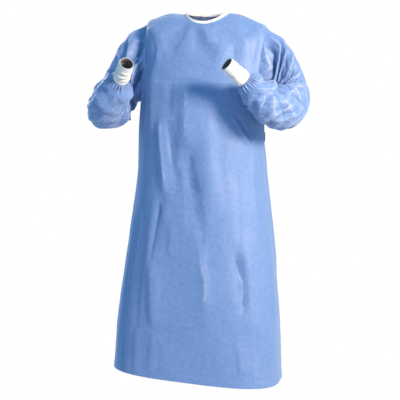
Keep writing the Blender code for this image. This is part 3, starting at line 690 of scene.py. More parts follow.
tapeFinish = {
    "white": (0.90, 0.86, 0.84, 1.0),
    "cloudy": (0.86, 0.80, 0.77, 1.0),
    "thread": (0.62, 0.66, 0.74, 1.0),
    "stitch": 0.0034,
    "stitchRow": 0.22,  # height of the stitches, as a share of the tape's width
    "twillTurn": 5200.0,
    "clouds": 120.0,
    "roughness": 0.72,
    "relief": (0.0004, 0.6),
    "constants": {"Specular IOR Level": 0.35, "Sheen Weight": 0.2, "Sheen Roughness": 0.5},
}


def whiteTape(name):
    # folded tape: a fine twill, and one row of stitches near its lower edge
    kit = tapeFinish
    m = Finish(name, kit["constants"])
    uv, u, v = m.clothUv()
    twill = (u * kit["twillTurn"] + v * kit["twillTurn"]).sine() * 0.5 + 0.5
    along = (u * (1 / kit["stitch"])).fraction()
    onRow = 1 - m.step((m.numberOf("row") - kit["stitchRow"]).absolute(), 0.030, 0.065)
    stitch = onRow * m.step(along, 0.12, 0.22) * (1 - m.step(along, 0.74, 0.86))
    colour = m.mixColour(m.noise(uv, kit["clouds"]) * 0.5, kit["white"], kit["cloudy"])
    m.feed("Base Color", m.mixColour(stitch * 0.8, colour, kit["thread"]))
    m.feed("Roughness", kit["roughness"] + 0.1 * twill)
    m.relief(twill * 0.3 + stitch * 1.6 - onRow * 0.8, *kit["relief"])
    return m.material


clothPaint = gownCloth("blueNonWoven")
knitPaint = whiteKnit("whiteRibKnit")
tapePaint = whiteTape("whiteBindingTape")
print("materials made")


def finished(piece, paint, slot, nodes, **sheet):
    # a piece gets its paint and rides on the root body, and the frame's parts that it stands for are hidden
    piece.data.materials.append(paint)
    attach(piece, "root")
    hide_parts(*nodes)
    print("made", piece.name, len(piece.data.polygons), "faces")
    return piece


# the body's panels

panels = {
    "front": {"name": "gownFront", "node": "front_panel", "columns": 150, "seams": ("first", "last"),
              "flat": (0.90, 1.25), "area": 0.85, "restsOn": ["back_panel_left", "back_panel_right"]},
    "left": {"name": "gownBackLeft", "node": "back_panel_left", "columns": 112, "seams": ("first",),
             "flat": (0.75, 1.25), "area": 0.65, "restsOn": ["gownFront"]},
    "right": {"name": "gownBackRight", "node": "back_panel_right", "columns": 128, "seams": ("last",),
              "flat": (0.80, 1.25), "area": 0.70, "restsOn": ["gownFront"]},
    "rowsBelow": 176,
    "rowsBeside": 62,
    "rowsAbove": 26,
    "bendScale": 0.0012,
}


def panelLevels():
    # even rows below and above the armhole, and along its edge even turns of its half ellipse
    below = np.linspace(0.0, 1.0, panels["rowsBelow"])[:-1]
    swing = np.linspace(0, math.pi, panels["rowsBeside"] + 1)
    above = np.linspace(2.0, 3.0, panels["rowsAbove"])[1:]
    return np.concatenate([below, 1.5 - 0.5 * np.cos(swing), above])


def flapReach(level):
    # how far past the middle of the back a flap goes, in degrees
    return body["overlapHem"] + (body["overlapTop"] - body["overlapHem"]) * np.clip(level, 0, 3) / 3


def flapUnder(angle, level):
    # how deep the under flap lies, stepping in before it meets the top one
    pastEdge = np.asarray(angle, float) % 360.0 - (180.0 - flapReach(level) - body["flapFade"])
    return body["flapStep"] * ease(pastEdge / (body["flapFade"] * 0.8))


def seamAway(rows, edges):
    # metres from each point to the seam at the chosen borders of the grid
    away = np.full(rows.shape[:2], 1.0)
    du = np.linalg.norm(np.diff(rows, axis=1), axis=-1)
    fromFirst = np.concatenate([np.zeros((len(rows), 1)), np.cumsum(du, 1)], 1)
    if "first" in edges:
        away = np.minimum(away, fromFirst)
    if "last" in edges:
        away = np.minimum(away, fromFirst[:, -1:] - fromFirst)
    if "bottom" in edges:
        dv = np.linalg.norm(np.diff(rows, axis=0), axis=-1)
        away = np.minimum(away, np.concatenate([np.zeros((1, rows.shape[1])), np.cumsum(dv, 0)], 0))
    return away


def panel(name, angle, level, seams, under):
    # the body's surface over the panel's own angles, dipping at its seams by exp(-distance / width)
    out = bodyFacing(angle, level)
    rows = bodySurface(angle, level) - out * under[..., None]
    away = seamAway(rows, seams)
    hem = seamAway(rows, ("bottom",))
    dip = body["seamDip"] * np.exp(-away / body["seamWidth"]) * ease((3.0 - level + 0 * away) / 0.2)
    turned = body["hemRise"] * ease((body["hemDepth"] - hem) / 0.003)  # turned up, it stands prouder
    rows = rows + out * (turned - dip)[..., None]
    bend = bendOf(rows, False, 2) / panels["bendScale"]
    return shell(name, rows, body["cloth"], attributes={"bend": bend, "seam": away})


level = panelLevels()[:, None]
spans = {
    "front": (panelEdge("right", "front", level), panelEdge("left", "front", level)),
    "left": (panelEdge("left", "back", level), 180.0 + flapReach(level)),
    "right": (180.0 - flapReach(level), panelEdge("right", "back", level) + 360.0),
}
for side, (start, end) in spans.items():
    cut = panels[side]
    angle = start + (end - start) * np.linspace(0, 1, cut["columns"])[None, :]
    under = flapUnder(angle, level) if side == "left" else 0 * angle
    piece = panel(cut["name"], angle, level + 0 * angle, cut["seams"], under)
    finished(piece, clothPaint, "gown_cloth", [cut["node"]], flat=cut["flat"], held="hung",
             rests_on=cut["restsOn"], area=cut["area"])

# sleeves

# the inside of each elbow, its wrist and the way of its hand, the radius of the bend and the full head
arms = {
    "right": {"side": -1, "crook": (-0.270, -0.066, -0.248), "wrist": (-0.244, -0.200, -0.228),
              "hand": (0.450, -0.680, 0.580), "bend": 0.082, "cap": 0.038, "seed": 21},
    "left": {"side": 1, "crook": (0.215, -0.094, -0.248), "wrist": (0.160, -0.210, -0.236),
             "hand": (-0.590, -0.520, 0.600), "bend": 0.082, "cap": 0.026, "seed": 37},
}
sleeves = {
    "columns": 156, "rows": 176,
    "blend": 0.42,  # share of the length over which the armhole's outline becomes the arm's section
    "capTo": 0.62,  # where the full head of the sleeve ends
    "sideClear": 0.030, "sideRelease": 0.22, "sideRound": 0.014,  # how far the sleeve keeps off the body
    "gatherFrom": 0.93, "gathers": 23, "gatherRise": 0.0036,
    "sink": 0.0068,  # the cloth between the pleats lies this much deeper
    "outShare": 0.65,  # what stands out is taken times this
    "crumple": 0.0070, "crumpleRadius": 0.07,
    "bendScale": 0.0008,
    # share of the length, half size towards the crook, away from it, to the sides
    "sections": np.array([
        (0.00, 0.080, 0.082, 0.090), (0.22, 0.058, 0.076, 0.082), (0.40, 0.049, 0.080, 0.080),
        (0.55, 0.051, 0.082, 0.077), (0.70, 0.053, 0.083, 0.066), (0.84, 0.048, 0.070, 0.058),
        (0.94, 0.041, 0.044, 0.046), (1.00, 0.0262, 0.0262, 0.0262),
    ]),
    "creaseShare": (0.9, 1.0, 0.0012),  # the creases' rises and widths times these, and their tip's radius
    # pleats out of the crook: radians between two of them, height, how much they wander
    "pleats": {
        "left": {"gap": 0.60, "rise": 0.0350, "sway": 0.30},
        "right": {"gap": 0.92, "rise": 0.0330, "sway": 0.45},
    },
    # sharp creases: (turn, share) points, rise, widths on both sides, fade of the ends
    "creases": {
        "left": (
            (((0.360, 0.010), (0.300, 0.060), (0.262, 0.110)), 0.0050, 0.007, 0.009, 0.25),
            (((0.395, 0.030), (0.335, 0.085), (0.285, 0.140)), -0.0055, 0.007, 0.007, 0.25),
            (((0.430, 0.050), (0.360, 0.110), (0.295, 0.180)), 0.0060, 0.007, 0.010, 0.25),
            (((0.440, 0.150), (0.370, 0.185), (0.290, 0.235)), -0.0060, 0.008, 0.007, 0.2),
            (((0.425, 0.290), (0.350, 0.250), (0.280, 0.200)), 0.0055, 0.006, 0.006, 0.2),
            (((0.400, 0.300), (0.372, 0.330), (0.300, 0.290)), -0.0060, 0.005, 0.006, 0.2),
            (((0.490, 0.430), (0.420, 0.440), (0.340, 0.400)), 0.0060, 0.008, 0.006, 0.2),
            (((0.500, 0.496), (0.420, 0.500), (0.340, 0.460)), -0.0065, 0.006, 0.006, 0.2),
            (((0.500, 0.555), (0.430, 0.630), (0.380, 0.640)), 0.0060, 0.007, 0.006, 0.2),
            (((0.610, 0.590), (0.533, 0.650), (0.480, 0.690)), -0.0070, 0.005, 0.006, 0.2),
            (((0.640, 0.610), (0.560, 0.690), (0.500, 0.760)), 0.0065, 0.008, 0.006, 0.2),
            (((0.690, 0.625), (0.610, 0.715), (0.540, 0.800)), 0.0060, 0.007, 0.008, 0.2),
            (((0.720, 0.660), (0.637, 0.750), (0.565, 0.815)), -0.0060, 0.006, 0.008, 0.2),
            (((0.790, 0.665), (0.690, 0.755), (0.590, 0.825)), 0.0065, 0.008, 0.007, 0.2),
            (((0.740, 0.800), (0.650, 0.840), (0.560, 0.850)), -0.0055, 0.006, 0.007, 0.2),
            (((0.870, 0.720), (0.800, 0.712), (0.770, 0.690)), 0.0060, 0.006, 0.006, 0.25),
            (((0.805, 0.700), (0.770, 0.660), (0.700, 0.640)), -0.0045, 0.006, 0.008, 0.25),
            (((0.850, 0.900), (0.755, 0.880), (0.690, 0.850)), 0.0045, 0.006, 0.006, 0.25),
            (((0.835, 0.838), (0.733, 0.860), (0.660, 0.900)), -0.0040, 0.006, 0.006, 0.25),
            (((0.530, 0.960), (0.520, 0.900), (0.560, 0.860)), 0.0040, 0.006, 0.008, 0.25),
        ),
        "right": (
            (((0.500, 0.015), (0.420, 0.050), (0.320, 0.085), (0.180, 0.090), (0.060, 0.080)),
             -0.0260, 0.008, 0.011, 0.15),
            (((0.420, 0.165), (0.367, 0.142), (0.325, 0.122)), -0.0060, 0.006, 0.008, 0.25),
            (((0.415, 0.058), (0.358, 0.092), (0.320, 0.140)), 0.0070, 0.010, 0.010, 0.25),
            (((0.385, 0.044), (0.346, 0.062), (0.300, 0.088)), -0.0070, 0.007, 0.006, 0.25),
            (((0.380, 0.222), (0.342, 0.196), (0.300, 0.180)), -0.0050, 0.004, 0.006, 0.25),
            (((0.420, 0.290), (0.360, 0.300), (0.320, 0.250)), 0.0050, 0.007, 0.007, 0.25),
            (((0.440, 0.370), (0.379, 0.370), (0.330, 0.330)), -0.0055, 0.007, 0.006, 0.25),
            (((0.500, 0.450), (0.440, 0.460), (0.380, 0.430)), 0.0060, 0.008, 0.007, 0.25),
            (((0.560, 0.540), (0.500, 0.560), (0.440, 0.540)), -0.0055, 0.008, 0.006, 0.25),
            (((0.520, 0.955), (0.470, 0.930), (0.440, 0.890)), -0.0040, 0.006, 0.006, 0.25),
            (((0.580, 0.910), (0.692, 0.892), (0.758, 0.833), (0.805, 0.790)), -0.0065, 0.010, 0.007, 0.2),
            (((0.560, 0.850), (0.650, 0.850), (0.720, 0.800), (0.770, 0.740)), 0.0055, 0.008, 0.010, 0.2),
            (((0.665, 0.930), (0.754, 0.958), (0.840, 0.960)), -0.0040, 0.005, 0.007, 0.25),
            (((0.735, 0.910), (0.820, 0.900), (0.915, 0.860)), 0.0045, 0.010, 0.008, 0.25),
            (((0.600, 0.800), (0.690, 0.780), (0.740, 0.700)), -0.0045, 0.006, 0.008, 0.25),
            (((0.780, 0.796), (0.880, 0.750), (0.960, 0.700)), -0.0050, 0.006, 0.008, 0.25),
            (((0.850, 0.640), (0.930, 0.560), (0.990, 0.490)), 0.0055, 0.008, 0.007, 0.25),
            (((0.620, 0.700), (0.700, 0.640), (0.780, 0.600)), 0.0045, 0.008, 0.008, 0.25),
        ),
    },
    "flat": (0.50, 0.50), "area": {"left": 0.20, "right": 0.22},
}


def armholeRing(side, turn):
    # the armhole's edge on the body, once round it for each whole turn, and the way the body faces
    sign = arms[side]["side"]
    turn = np.asarray(turn, float) % 1.0
    swing = 2 * math.pi * turn
    atLevel = 1.5 - 0.5 * np.cos(swing)
    widest = np.where(turn < 0.5, body["armholeFront"], body["armholeBack"])
    atAngle = sign * (90.0 - widest * np.sin(swing))
    return bodySurface(atAngle, atLevel), bodyFacing(atAngle, atLevel)


def armPath(side):
    # straight from the armhole, round an arc about the crook, straight to the wrist
    arm = arms[side]
    begin = armholeRing(side, np.arange(16) / 16)[0].mean(0)
    crook, wrist, radius = np.array(arm["crook"]), np.array(arm["wrist"]), arm["bend"]
    toStart, toWrist = begin - crook, wrist - crook
    across = unit(np.cross(toStart, toWrist))
    ahead = unit(toStart)
    beside = np.cross(across, ahead)
    wide = math.atan2(float(toWrist @ beside), float(toWrist @ ahead))
    first = -math.acos(radius / np.linalg.norm(toStart))
    last = wide + math.acos(radius / np.linalg.norm(toWrist)) - 2 * math.pi
    spans = (
        math.sqrt(toStart @ toStart - radius**2),
        (first - last) * radius,
        math.sqrt(toWrist @ toWrist - radius**2),
    )
    total = sum(spans)

    def place(share):
        # the point at a share of the length, the way along it and the way to the crook
        far = np.asarray(share, float) * total
        turn = first - np.clip(far - spans[0], 0, spans[1]) / radius
        away = ahead * np.cos(turn)[..., None] + beside * np.sin(turn)[..., None]
        tangent = np.cross(away, across)
        rest = np.minimum(far - spans[0], 0) + np.maximum(far - spans[0] - spans[1], 0)
        return crook + radius * away + tangent * rest[..., None], tangent, -away

    return place, across, total, (crook, ahead, beside)


def sleeveSurface(side):
    # a tube round the arm's middle line, sheared and blended so that it starts as the armhole's outline
    arm = arms[side]
    place, across, total, (crook, ahead, beside) = armPath(side)
    pleats = sleeves["pleats"][side]
    heights = np.random.default_rng(arm["seed"]).uniform(0.45, 1.15, 64)
    sign = arm["side"]
    begin, along, inward = place(0.0)
    under = armholeRing(side, 0.0)[0] - begin
    front = armholeRing(side, 0.25)[0] - begin
    first = math.atan2(float(under @ across), float(under @ inward))
    second = math.atan2(float(front @ across), float(front @ inward))
    spin = 1 if (second - first) % (2 * math.pi) < math.pi else -1
    table = sleeves["sections"]

    def section(turn, share, fold):
        # an ellipse in polar form, deeper away from the crook than towards it, with the fold added
        middle, _, toCrook = place(share)
        phase = first + spin * 2 * math.pi * turn
        c, s = np.cos(phase), np.sin(phase)
        inner, outer, wide = (smoothThrough(share, table[:, 0], table[:, k]) for k in (1, 2, 3))
        deep = np.where(c > 0, inner, outer)
        far = 1.0 / np.sqrt((c / deep) ** 2 + (s / wide) ** 2) + fold
        return middle + (far * c)[..., None] * toCrook + (far * s)[..., None] * across

    def pleated(turn, share, phase):
        # Spokes out from the crook: the angle round it over the gap, bent by a wave along the spoke, is
        # cut into cells, each a triangle ridge with its own seeded height. They grow out of the crook
        # and fade at the outer side of the arm, and a finer set of ridges lies over them.
        off = section(turn, share, 0.0) - crook
        spoke = np.arctan2(off @ beside, off @ ahead)
        reach = np.hypot(off @ beside, off @ ahead)
        depth = off @ across
        sway = pleats["sway"] * np.sin(depth / 0.035 + 2.2 * reach / 0.10)
        cell = spoke / pleats["gap"] + sway + 0.5 * depth / 0.10
        ridge = 1 - np.abs((cell % 1.0) * 2 - 1)
        # the cloth is smoother where it is drawn over the outer side of the upper arm
        outward = np.cos(phase)[..., None] * place(share)[2] + np.sin(phase)[..., None] * across
        outward = sign * outward[..., 0]
        slack = 1 - 0.85 * ease((outward - 0.35) / 0.45) * ease((0.50 - share) / 0.12)
        grown = ease(reach / 0.055) * (1 - 0.90 * ease((reach - 0.075) / 0.080))
        grown = grown * slack * (0.08 + 0.92 * ease((np.cos(phase) + 0.80) / 0.85))
        tall = heights[np.floor(cell).astype(int) % len(heights)]
        moved = pleats["rise"] * grown * (0.9 * tall * ridge**1.35 - 0.36) - sleeves["sink"]
        minor = (1.87 * cell + 0.9 * np.sin(depth / 0.026 + 1.0)) % 1.0
        moved = moved + pleats["rise"] * 0.16 * slack * (1 - np.abs(minor * 2 - 1)) * ease(reach / 0.08)
        return moved * ease(share / 0.14) * ease((0.985 - share) / 0.10)

    def crumpled(turn, share, phase):
        # two sets of waves over the tube's length and its unrolled circle, least towards the crook
        u = np.cos(2 * math.pi * turn) * sleeves["crumpleRadius"]
        w = np.sin(2 * math.pi * turn) * sleeves["crumpleRadius"]
        v = share * total
        rough = waves(v + 0.4 * w, u, arm["seed"], 9, 0.022, 0.060, -0.5, 0.5)
        rough = rough + 0.6 * waves(v - 0.3 * u, w, arm["seed"] + 1, 9, 0.014, 0.040, -0.8, 0.8)
        rough = sleeves["crumple"] * rough * ease(share / 0.15)
        return rough * (1 - 0.85 * ease((np.cos(phase) - 0.5) / 0.5))

    def gathered(turn, share):
        # uneven cosine gathers round the last of the tube, drawn in again at its very end
        tight = ease((share - sleeves["gatherFrom"]) / (1 - sleeves["gatherFrom"]) * 1.4)
        tight = tight * ease((1.0 - share) * 30 + 0.25)
        wander = turn + 0.011 * np.sin(2 * math.pi * (turn * 3 + 0.2))
        wander = wander + 0.006 * np.sin(2 * math.pi * (turn * 7 + 0.6))
        size = 0.75 + 0.35 * np.sin(2 * math.pi * (turn * 5 + 0.35))
        return sleeves["gatherRise"] * size * np.cos(2 * math.pi * sleeves["gathers"] * wander) * tight

    def folds(turn, share):
        # pleats + creases + crumple, what stands out being lessened, and the gathers at the cuff
        phase = first + spin * 2 * math.pi * turn
        rounded = smoothThrough(share, table[:, 0], table[:, 3]) * 2 * math.pi
        creases = [([(p, q * total) for p, q in points], *rest) for points, *rest in sleeves["creases"][side]]
        moved = pleated(turn, share, phase)
        moved = moved + creaseSum(turn, rounded, 1.0, share * total, creases, *sleeves["creaseShare"])
        moved = moved + crumpled(turn, share, phase)
        moved = np.where(moved > 0, moved * sleeves["outShare"], moved) * ease((1.01 - share) / 0.05)
        return moved + gathered(turn, share)

    def surface(turn, share):
        # the folded tube + what takes its first ring to the armhole + the full head, kept off the body
        turn, share = np.broadcast_arrays(np.asarray(turn, float), np.asarray(share, float))
        edge, _ = armholeRing(side, turn[:1])
        edge = edge + np.zeros(turn.shape + (1,))
        start = ((edge - begin) @ along) / total
        keep = 1 - ease(share / sleeves["blend"])
        top = 0.5 - 0.5 * np.cos(2 * math.pi * turn)
        head = ease(share / 0.13) * ease((sleeves["capTo"] - share) / 0.42) * top
        stand = unit((sign, 0.0, 0.45)) * arm["cap"]
        placed = section(turn, start + (1 - start) * share, folds(turn, share))
        placed = placed + (edge - section(turn, start, 0.0)) * keep[..., None] + head[..., None] * stand
        near = ease(share / 0.12)
        least = sign * edge[..., 0] + sleeves["sideClear"] * near
        least = least - sleeves["sideRelease"] * ease((share - 0.3) / 0.6)
        over = sign * placed[..., 0] - least
        clear = np.sqrt(over**2 + (sleeves["sideRound"] * near) ** 2)
        placed[..., 0] = sign * (least + (over + clear) / 2)
        return placed

    return surface, total


for side in ("left", "right"):
    surface, total = sleeveSurface(side)
    turn = np.arange(sleeves["columns"]) / sleeves["columns"]
    turn, share = np.meshgrid(turn, np.linspace(0, 1, sleeves["rows"]))
    rows = surface(turn, share)
    flip = facesIn(rows)
    fromSeam = share * total
    _, ringFacing = armholeRing(side, turn[:1])
    dip = body["seamDip"] * np.exp(-fromSeam / body["seamWidth"])
    rows = rows - ringFacing * dip[..., None]
    away = np.minimum(fromSeam, (1 - share) * total + 0.002)
    bend = bendOf(rows, True) * (-1 if flip else 1) / sleeves["bendScale"]
    kept = {"bend": bend, "seam": away}
    piece = shell("gownSleeve" + side.capitalize(), rows, body["cloth"], True, flip, kept)
    finished(piece, clothPaint, "gown_cloth", ["sleeve_" + side], flat=sleeves["flat"], held="gathered",
             rests_on=["gownFront"], area=sleeves["area"][side])

# cuffs

cuffs = {
    "length": 0.078, "radius": 0.0245, "wall": 0.0018, "rings": 4, "ringRise": 0.0012,
    "ribs": 56, "ribRise": 0.00055, "columns": 336, "rows": 84, "flat": (0.16, 0.080),
    # wrinkles round the cuff: share of the length, how far they stand out, slant, half width
    "wrinkles": (
        (0.16, 0.0044, 0.5, 0.042), (0.30, -0.0046, -0.4, 0.046), (0.42, 0.0044, 0.9, 0.042),
        (0.55, -0.0040, 0.3, 0.046), (0.68, 0.0034, -0.7, 0.044),
    ),
}


def cuffRows(side):
    # circles about a line that turns from the wrist to the hand, wrinkled round and ribbed along
    place, across, _, _ = armPath(side)
    middle, tangent, _ = place(1.0)
    hand = unit(arms[side]["hand"])
    shares = np.linspace(0, 1, cuffs["rows"])
    turning = ease(shares * 2.2)[:, None]
    way = unit(tangent * (1 - turning) + hand * turning)
    steps = way[1:] * cuffs["length"] / (cuffs["rows"] - 1)
    at = middle + np.concatenate([[tangent * 0.0003], steps]).cumsum(0)
    sideWay = unit(across - way * (way @ across)[:, None])
    third = np.cross(way, sideWay)
    phase = 2 * math.pi * np.arange(cuffs["columns"]) / cuffs["columns"]
    s = shares[:, None]
    radius = cuffs["radius"] * (1 + 0.06 * np.sin(math.pi * s) - 0.08 * s)
    radius = radius + cuffs["ringRise"] * np.cos(2 * math.pi * cuffs["rings"] * s) * (1 - s)
    slack = ease(s / 0.08) * ease((0.92 - s) / 0.25)
    for k, (where, size, lean, width) in enumerate(cuffs["wrinkles"]):
        off = (s - where - 0.05 * lean * np.sin(phase + k * 1.9)) / width
        uneven = 0.55 + 0.45 * np.sin(phase * 2 + k * 2.3)
        radius = radius + size * np.exp(-np.abs(off) ** 1.5) * uneven * slack
    rib = 0.5 + 0.5 * np.cos(cuffs["ribs"] * phase) + 0 * s
    radius = radius + cuffs["ribRise"] * (rib - 0.5) + 0.0004 * ease((0.035 - np.abs(s - 0.972)) / 0.02)
    spoke = np.cos(phase)[None, :, None] * sideWay[:, None] + np.sin(phase)[None, :, None] * third[:, None]
    return at[:, None] + radius[..., None] * spoke, rib


for side in ("left", "right"):
    rows, rib = cuffRows(side)
    flip = facesIn(rows)
    piece = shell("gownCuff" + side.capitalize(), rows, cuffs["wall"], True, flip, {"rib": rib}, sharp=80)
    finished(piece, knitPaint, "knit", ["cuff_" + side], flat=cuffs["flat"], held="stretched",
             rests_on=["gownSleeve" + side.capitalize()])

# neck binding

binding = {
    "width": 0.009, "wall": 0.0024,
    "step": 0.0042,  # how far the lower end steps in under the upper one
    "along": 420, "around": 28, "square": 0.55, "ripple": 0.00025,
    "flat": (0.011, 0.52),
}


def bindingRows():
    # a rounded flat section carried along the neckline, stepping in where the tape laps over itself
    reach = float(flapReach(3.0))
    at = np.linspace(180.0 + reach, -180.0 - reach, binding["along"])
    top = np.full(at.shape, 3.0)
    edge = bodySurface(at, top)
    normal = bodyFacing(at, top - 0.01)
    below = bodySurface(at, top - 0.12)
    rise = unit(unit(edge - below) + np.array((0.0, 0.0, 1.1)))
    out = unit(normal - rise * np.sum(normal * rise, -1, keepdims=True))
    under = binding["step"] * ease((at - (180.0 - reach - body["flapFade"])) / (body["flapFade"] * 0.8))
    foot = edge + rise * 0.0003 - out * under[:, None]
    wall, width = binding["wall"], binding["width"]
    around = np.linspace(0, 2 * math.pi, binding["around"], endpoint=False)
    # a superellipse: out of the cloth by cos, up the tape by sin, squared off
    side = np.sign(np.cos(around)) * np.abs(np.cos(around)) ** binding["square"]
    up = np.sign(np.sin(around)) * np.abs(np.sin(around)) ** binding["square"]
    ripple = binding["ripple"] * np.sin(at * 0.9)[:, None] * np.maximum(up, 0)
    outBy = wall * 0.5 * side[None, :] - wall * 0.45 + ripple
    upBy = width * (0.5 + 0.5 * up)[None, :] + 0.0 * at[:, None]
    rows = foot[:, None] + rise[:, None] * upBy[..., None] + out[:, None] * outBy[..., None]
    return rows, upBy / width


def tube(name, rows, attributes):
    # a closed section carried along a path, with a face at each end, and turned outwards if the sum of
    # its corners' triple products comes out negative
    count, wide = rows.shape[:2]
    ids, uvs = gridFaces(flatCoordinates(rows, True)[..., ::-1], count, wide, wide)
    k = np.arange(wide // 2 - 1)
    for base, turned in ((0, False), ((count - 1) * wide, True)):
        cap = np.stack([base + k, base + k + 1, base + wide - 2 - k, base + wide - 1 - k], -1)
        ids = np.concatenate([ids, cap if turned else cap[:, ::-1]])
        uvs = np.concatenate([uvs, np.zeros((len(cap), 4, 2))])
    made = meshFrom(name, rows.reshape(-1, 3), ids, uvs, attributes, 60)
    p = rows.reshape(-1, 3)[ids]
    volume = np.sum(p[:, 0] * np.cross(p[:, 1], p[:, 2])) + np.sum(p[:, 0] * np.cross(p[:, 2], p[:, 3]))
    if volume < 0:
        made.data.flip_normals()
    return made


rows, row = bindingRows()
piece = tube("neckBinding", rows, {"row": row})
finished(piece, tapePaint, "binding", ["neck_binding"], flat=binding["flat"], held="folded",
         rests_on=["gownFront", "gownBackLeft", "gownBackRight"])

# ties

ties = {
    "height": -0.415, "width": 0.030, "cloth": 0.0010,
    "lift": 0.0028,  # height of the strip over the back
    "columns": 130, "rows": 15, "narrowTo": 0.5, "bendScale": 0.0010,
    "tail": 0.24, "tailRows": 90, "tailColumns": 13, "tailLift": 0.0036,
    # angle of the top and of the low end of each hanging end, and its seed
    "tails": (("left", 178.6, 174.0, 0.4), ("right", 181.4, 187.0, 1.7)),
    "flat": (0.032, 0.27), "tailFlat": (0.040, 0.26),
}


def levelAt(height):
    # the level whose side is at a height
    levels = np.linspace(0, 1, 400)
    return np.interp(height, loopValue(levels, "side"), levels)


def tieRows(angleFrom, angleTo):
    # a strip round the body at the waist, drawn together where it enters the knot
    share = np.linspace(0, 1, ties["columns"])[None, :]
    up = np.linspace(-0.5, 0.5, ties["rows"])[:, None]
    squeeze = 1 - (1 - ties["narrowTo"]) * ease((share - 0.80) / 0.20)
    height = ties["height"] + up * ties["width"] * squeeze
    atLevel = levelAt(height)
    atAngle = angleFrom + (angleTo - angleFrom) * share + 0 * up
    crease = 0.0012 * np.exp(-np.abs(up - 0.08 * np.sin(share * 9)) / 0.05) * ease(share / 0.2)
    gather = 0.0016 * np.cos(up * 26) * ease((share - 0.72) / 0.28)
    rolled = 0.0007 * ease((np.abs(up) - 0.42) / 0.06)
    lift = ties["lift"] + crease + gather + rolled
    out = facing(bodyBase, atAngle, atLevel, *body["facingStep"])
    return bodyBase(atAngle, atLevel) + out * (bodyDetail(atAngle, atLevel) + lift)[..., None]


tieLevel = levelAt(ties["height"])
knotReach = 0.20 * float(flapReach(tieLevel))
tieAt = {
    "left": (float(panelEdge("left", "back", tieLevel)) + 8.0, 180.0 - knotReach),
    "right": (float(panelEdge("right", "back", tieLevel)) + 352.0, 180.0 + knotReach),
}
for side, (angleFrom, angleTo) in tieAt.items():
    rows = tieRows(angleFrom, angleTo)
    flip = side == "right"
    bend = bendOf(rows, False) * (-1 if flip else 1) / ties["bendScale"]
    kept = {"bend": bend, "seam": 1.0 + 0 * bend}
    piece = shell("waistTie" + side.capitalize(), rows, ties["cloth"], False, flip, kept)
    finished(piece, clothPaint, "gown_cloth", ["tie_" + side], flat=ties["flat"], held="laid",
             rests_on=["gownBack" + side.capitalize()])


def tailRows(angleTop, angleLow, seed):
    # a strip that hangs from the knot down the back, waving a little off the cloth
    down = np.linspace(0, 1, ties["tailRows"])[:, None]
    side = np.linspace(-0.5, 0.5, ties["tailColumns"])[None, :]
    height = ties["height"] - 0.004 - down * ties["tail"]
    atLevel = levelAt(height)
    reach = 0.5 * (loopValue(atLevel, "halfWidth") + loopValue(atLevel, "backDepth"))
    broad = ties["width"] * (0.42 + 0.48 * ease(down / 0.25))
    middle = angleTop + (angleLow - angleTop) * ease(down * 1.1) + 1.2 * np.sin(down * 5 + seed)
    atAngle = middle + np.degrees(side * broad / reach)
    wave = 0.0032 * (0.5 + 0.5 * np.sin(down * 9 + seed * 2)) * ease(down / 0.2)
    curl = 0.0035 * np.abs(side) * np.sin(down * 7 + seed) * ease(down / 0.3)
    curl = curl + 0.0012 * np.exp(-np.abs(side) / 0.08)
    lift = ties["tailLift"] + wave + np.maximum(curl, -0.001) + 0.005 * (1 - ease(down / 0.10))
    out = facing(bodyBase, atAngle, atLevel, *body["facingStep"])
    return bodyBase(atAngle, atLevel) + out * (bodyDetail(atAngle, atLevel) * 0.9 + lift)[..., None]


for side, top, low, seed in ties["tails"]:
    rows = tailRows(top, low, seed)[::-1]
    bend = bendOf(rows, False) / ties["bendScale"]
    kept = {"bend": bend, "seam": 1.0 + 0 * bend}
    piece = shell("tieEnd" + side.capitalize(), rows, ties["cloth"], False, False, kept)
    finished(piece, clothPaint, "gown_cloth", ["tie_end_" + side], flat=ties["tailFlat"], held="hung",
             rests_on=["gownBackRight"])

# rows and columns, the power of each coordinate, the share of the box it fills, and its grooves' depth
knot = {"down": 60, "around": 84, "squareness": 0.75, "size": 0.97, "groove": 0.060}


def knotRows():
    # a sphere squared off by a power of each coordinate, with slanting grooves where one tie passes
    # over the other, in the box that the frame keeps for it
    down = np.linspace(0.0, math.pi, knot["down"])[:, None]
    around = 2 * math.pi * np.arange(knot["around"])[None, :] / knot["around"]
    low, high = (np.array(corner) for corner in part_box("tie_knot"))
    x, y, z = np.sin(down) * np.cos(around), np.sin(down) * np.sin(around), np.cos(down) + 0 * around
    ball = np.stack([x, y, z], -1)
    groove = np.cos(6.2 * (z * 0.9 + x * 0.75) + 0.6) * 0.5 + np.cos(8.0 * (x - 0.4 * z)) * 0.25
    size = knot["size"] + knot["groove"] * np.sign(groove) * np.abs(groove) ** 0.6
    squared = np.sign(ball) * np.abs(ball) ** knot["squareness"]
    return (low + high) / 2 + squared * ((high - low) / 2) * size[..., None]


rows = knotRows()
points = rows.reshape(-1, 3)
ids, uvs = gridFaces(flatCoordinates(rows, True), knot["down"], knot["around"], knot["around"])
outwards = [0, 3, 2, 1]
kept = {"bend": 0 * points[:, 0], "seam": 1 + 0 * points[:, 0]}
piece = meshFrom("tieKnot", points, ids[:, outwards], uvs[:, outwards], kept, 80)
# the points that meet at each pole are made one
merged = bmesh.new()
merged.from_mesh(piece.data)
bmesh.ops.remove_doubles(merged, verts=merged.verts, dist=1e-7)
merged.to_mesh(piece.data)
merged.free()
finished(piece, clothPaint, "gown_cloth", ["tie_knot"])
print("ties made")

# floor, light and camera

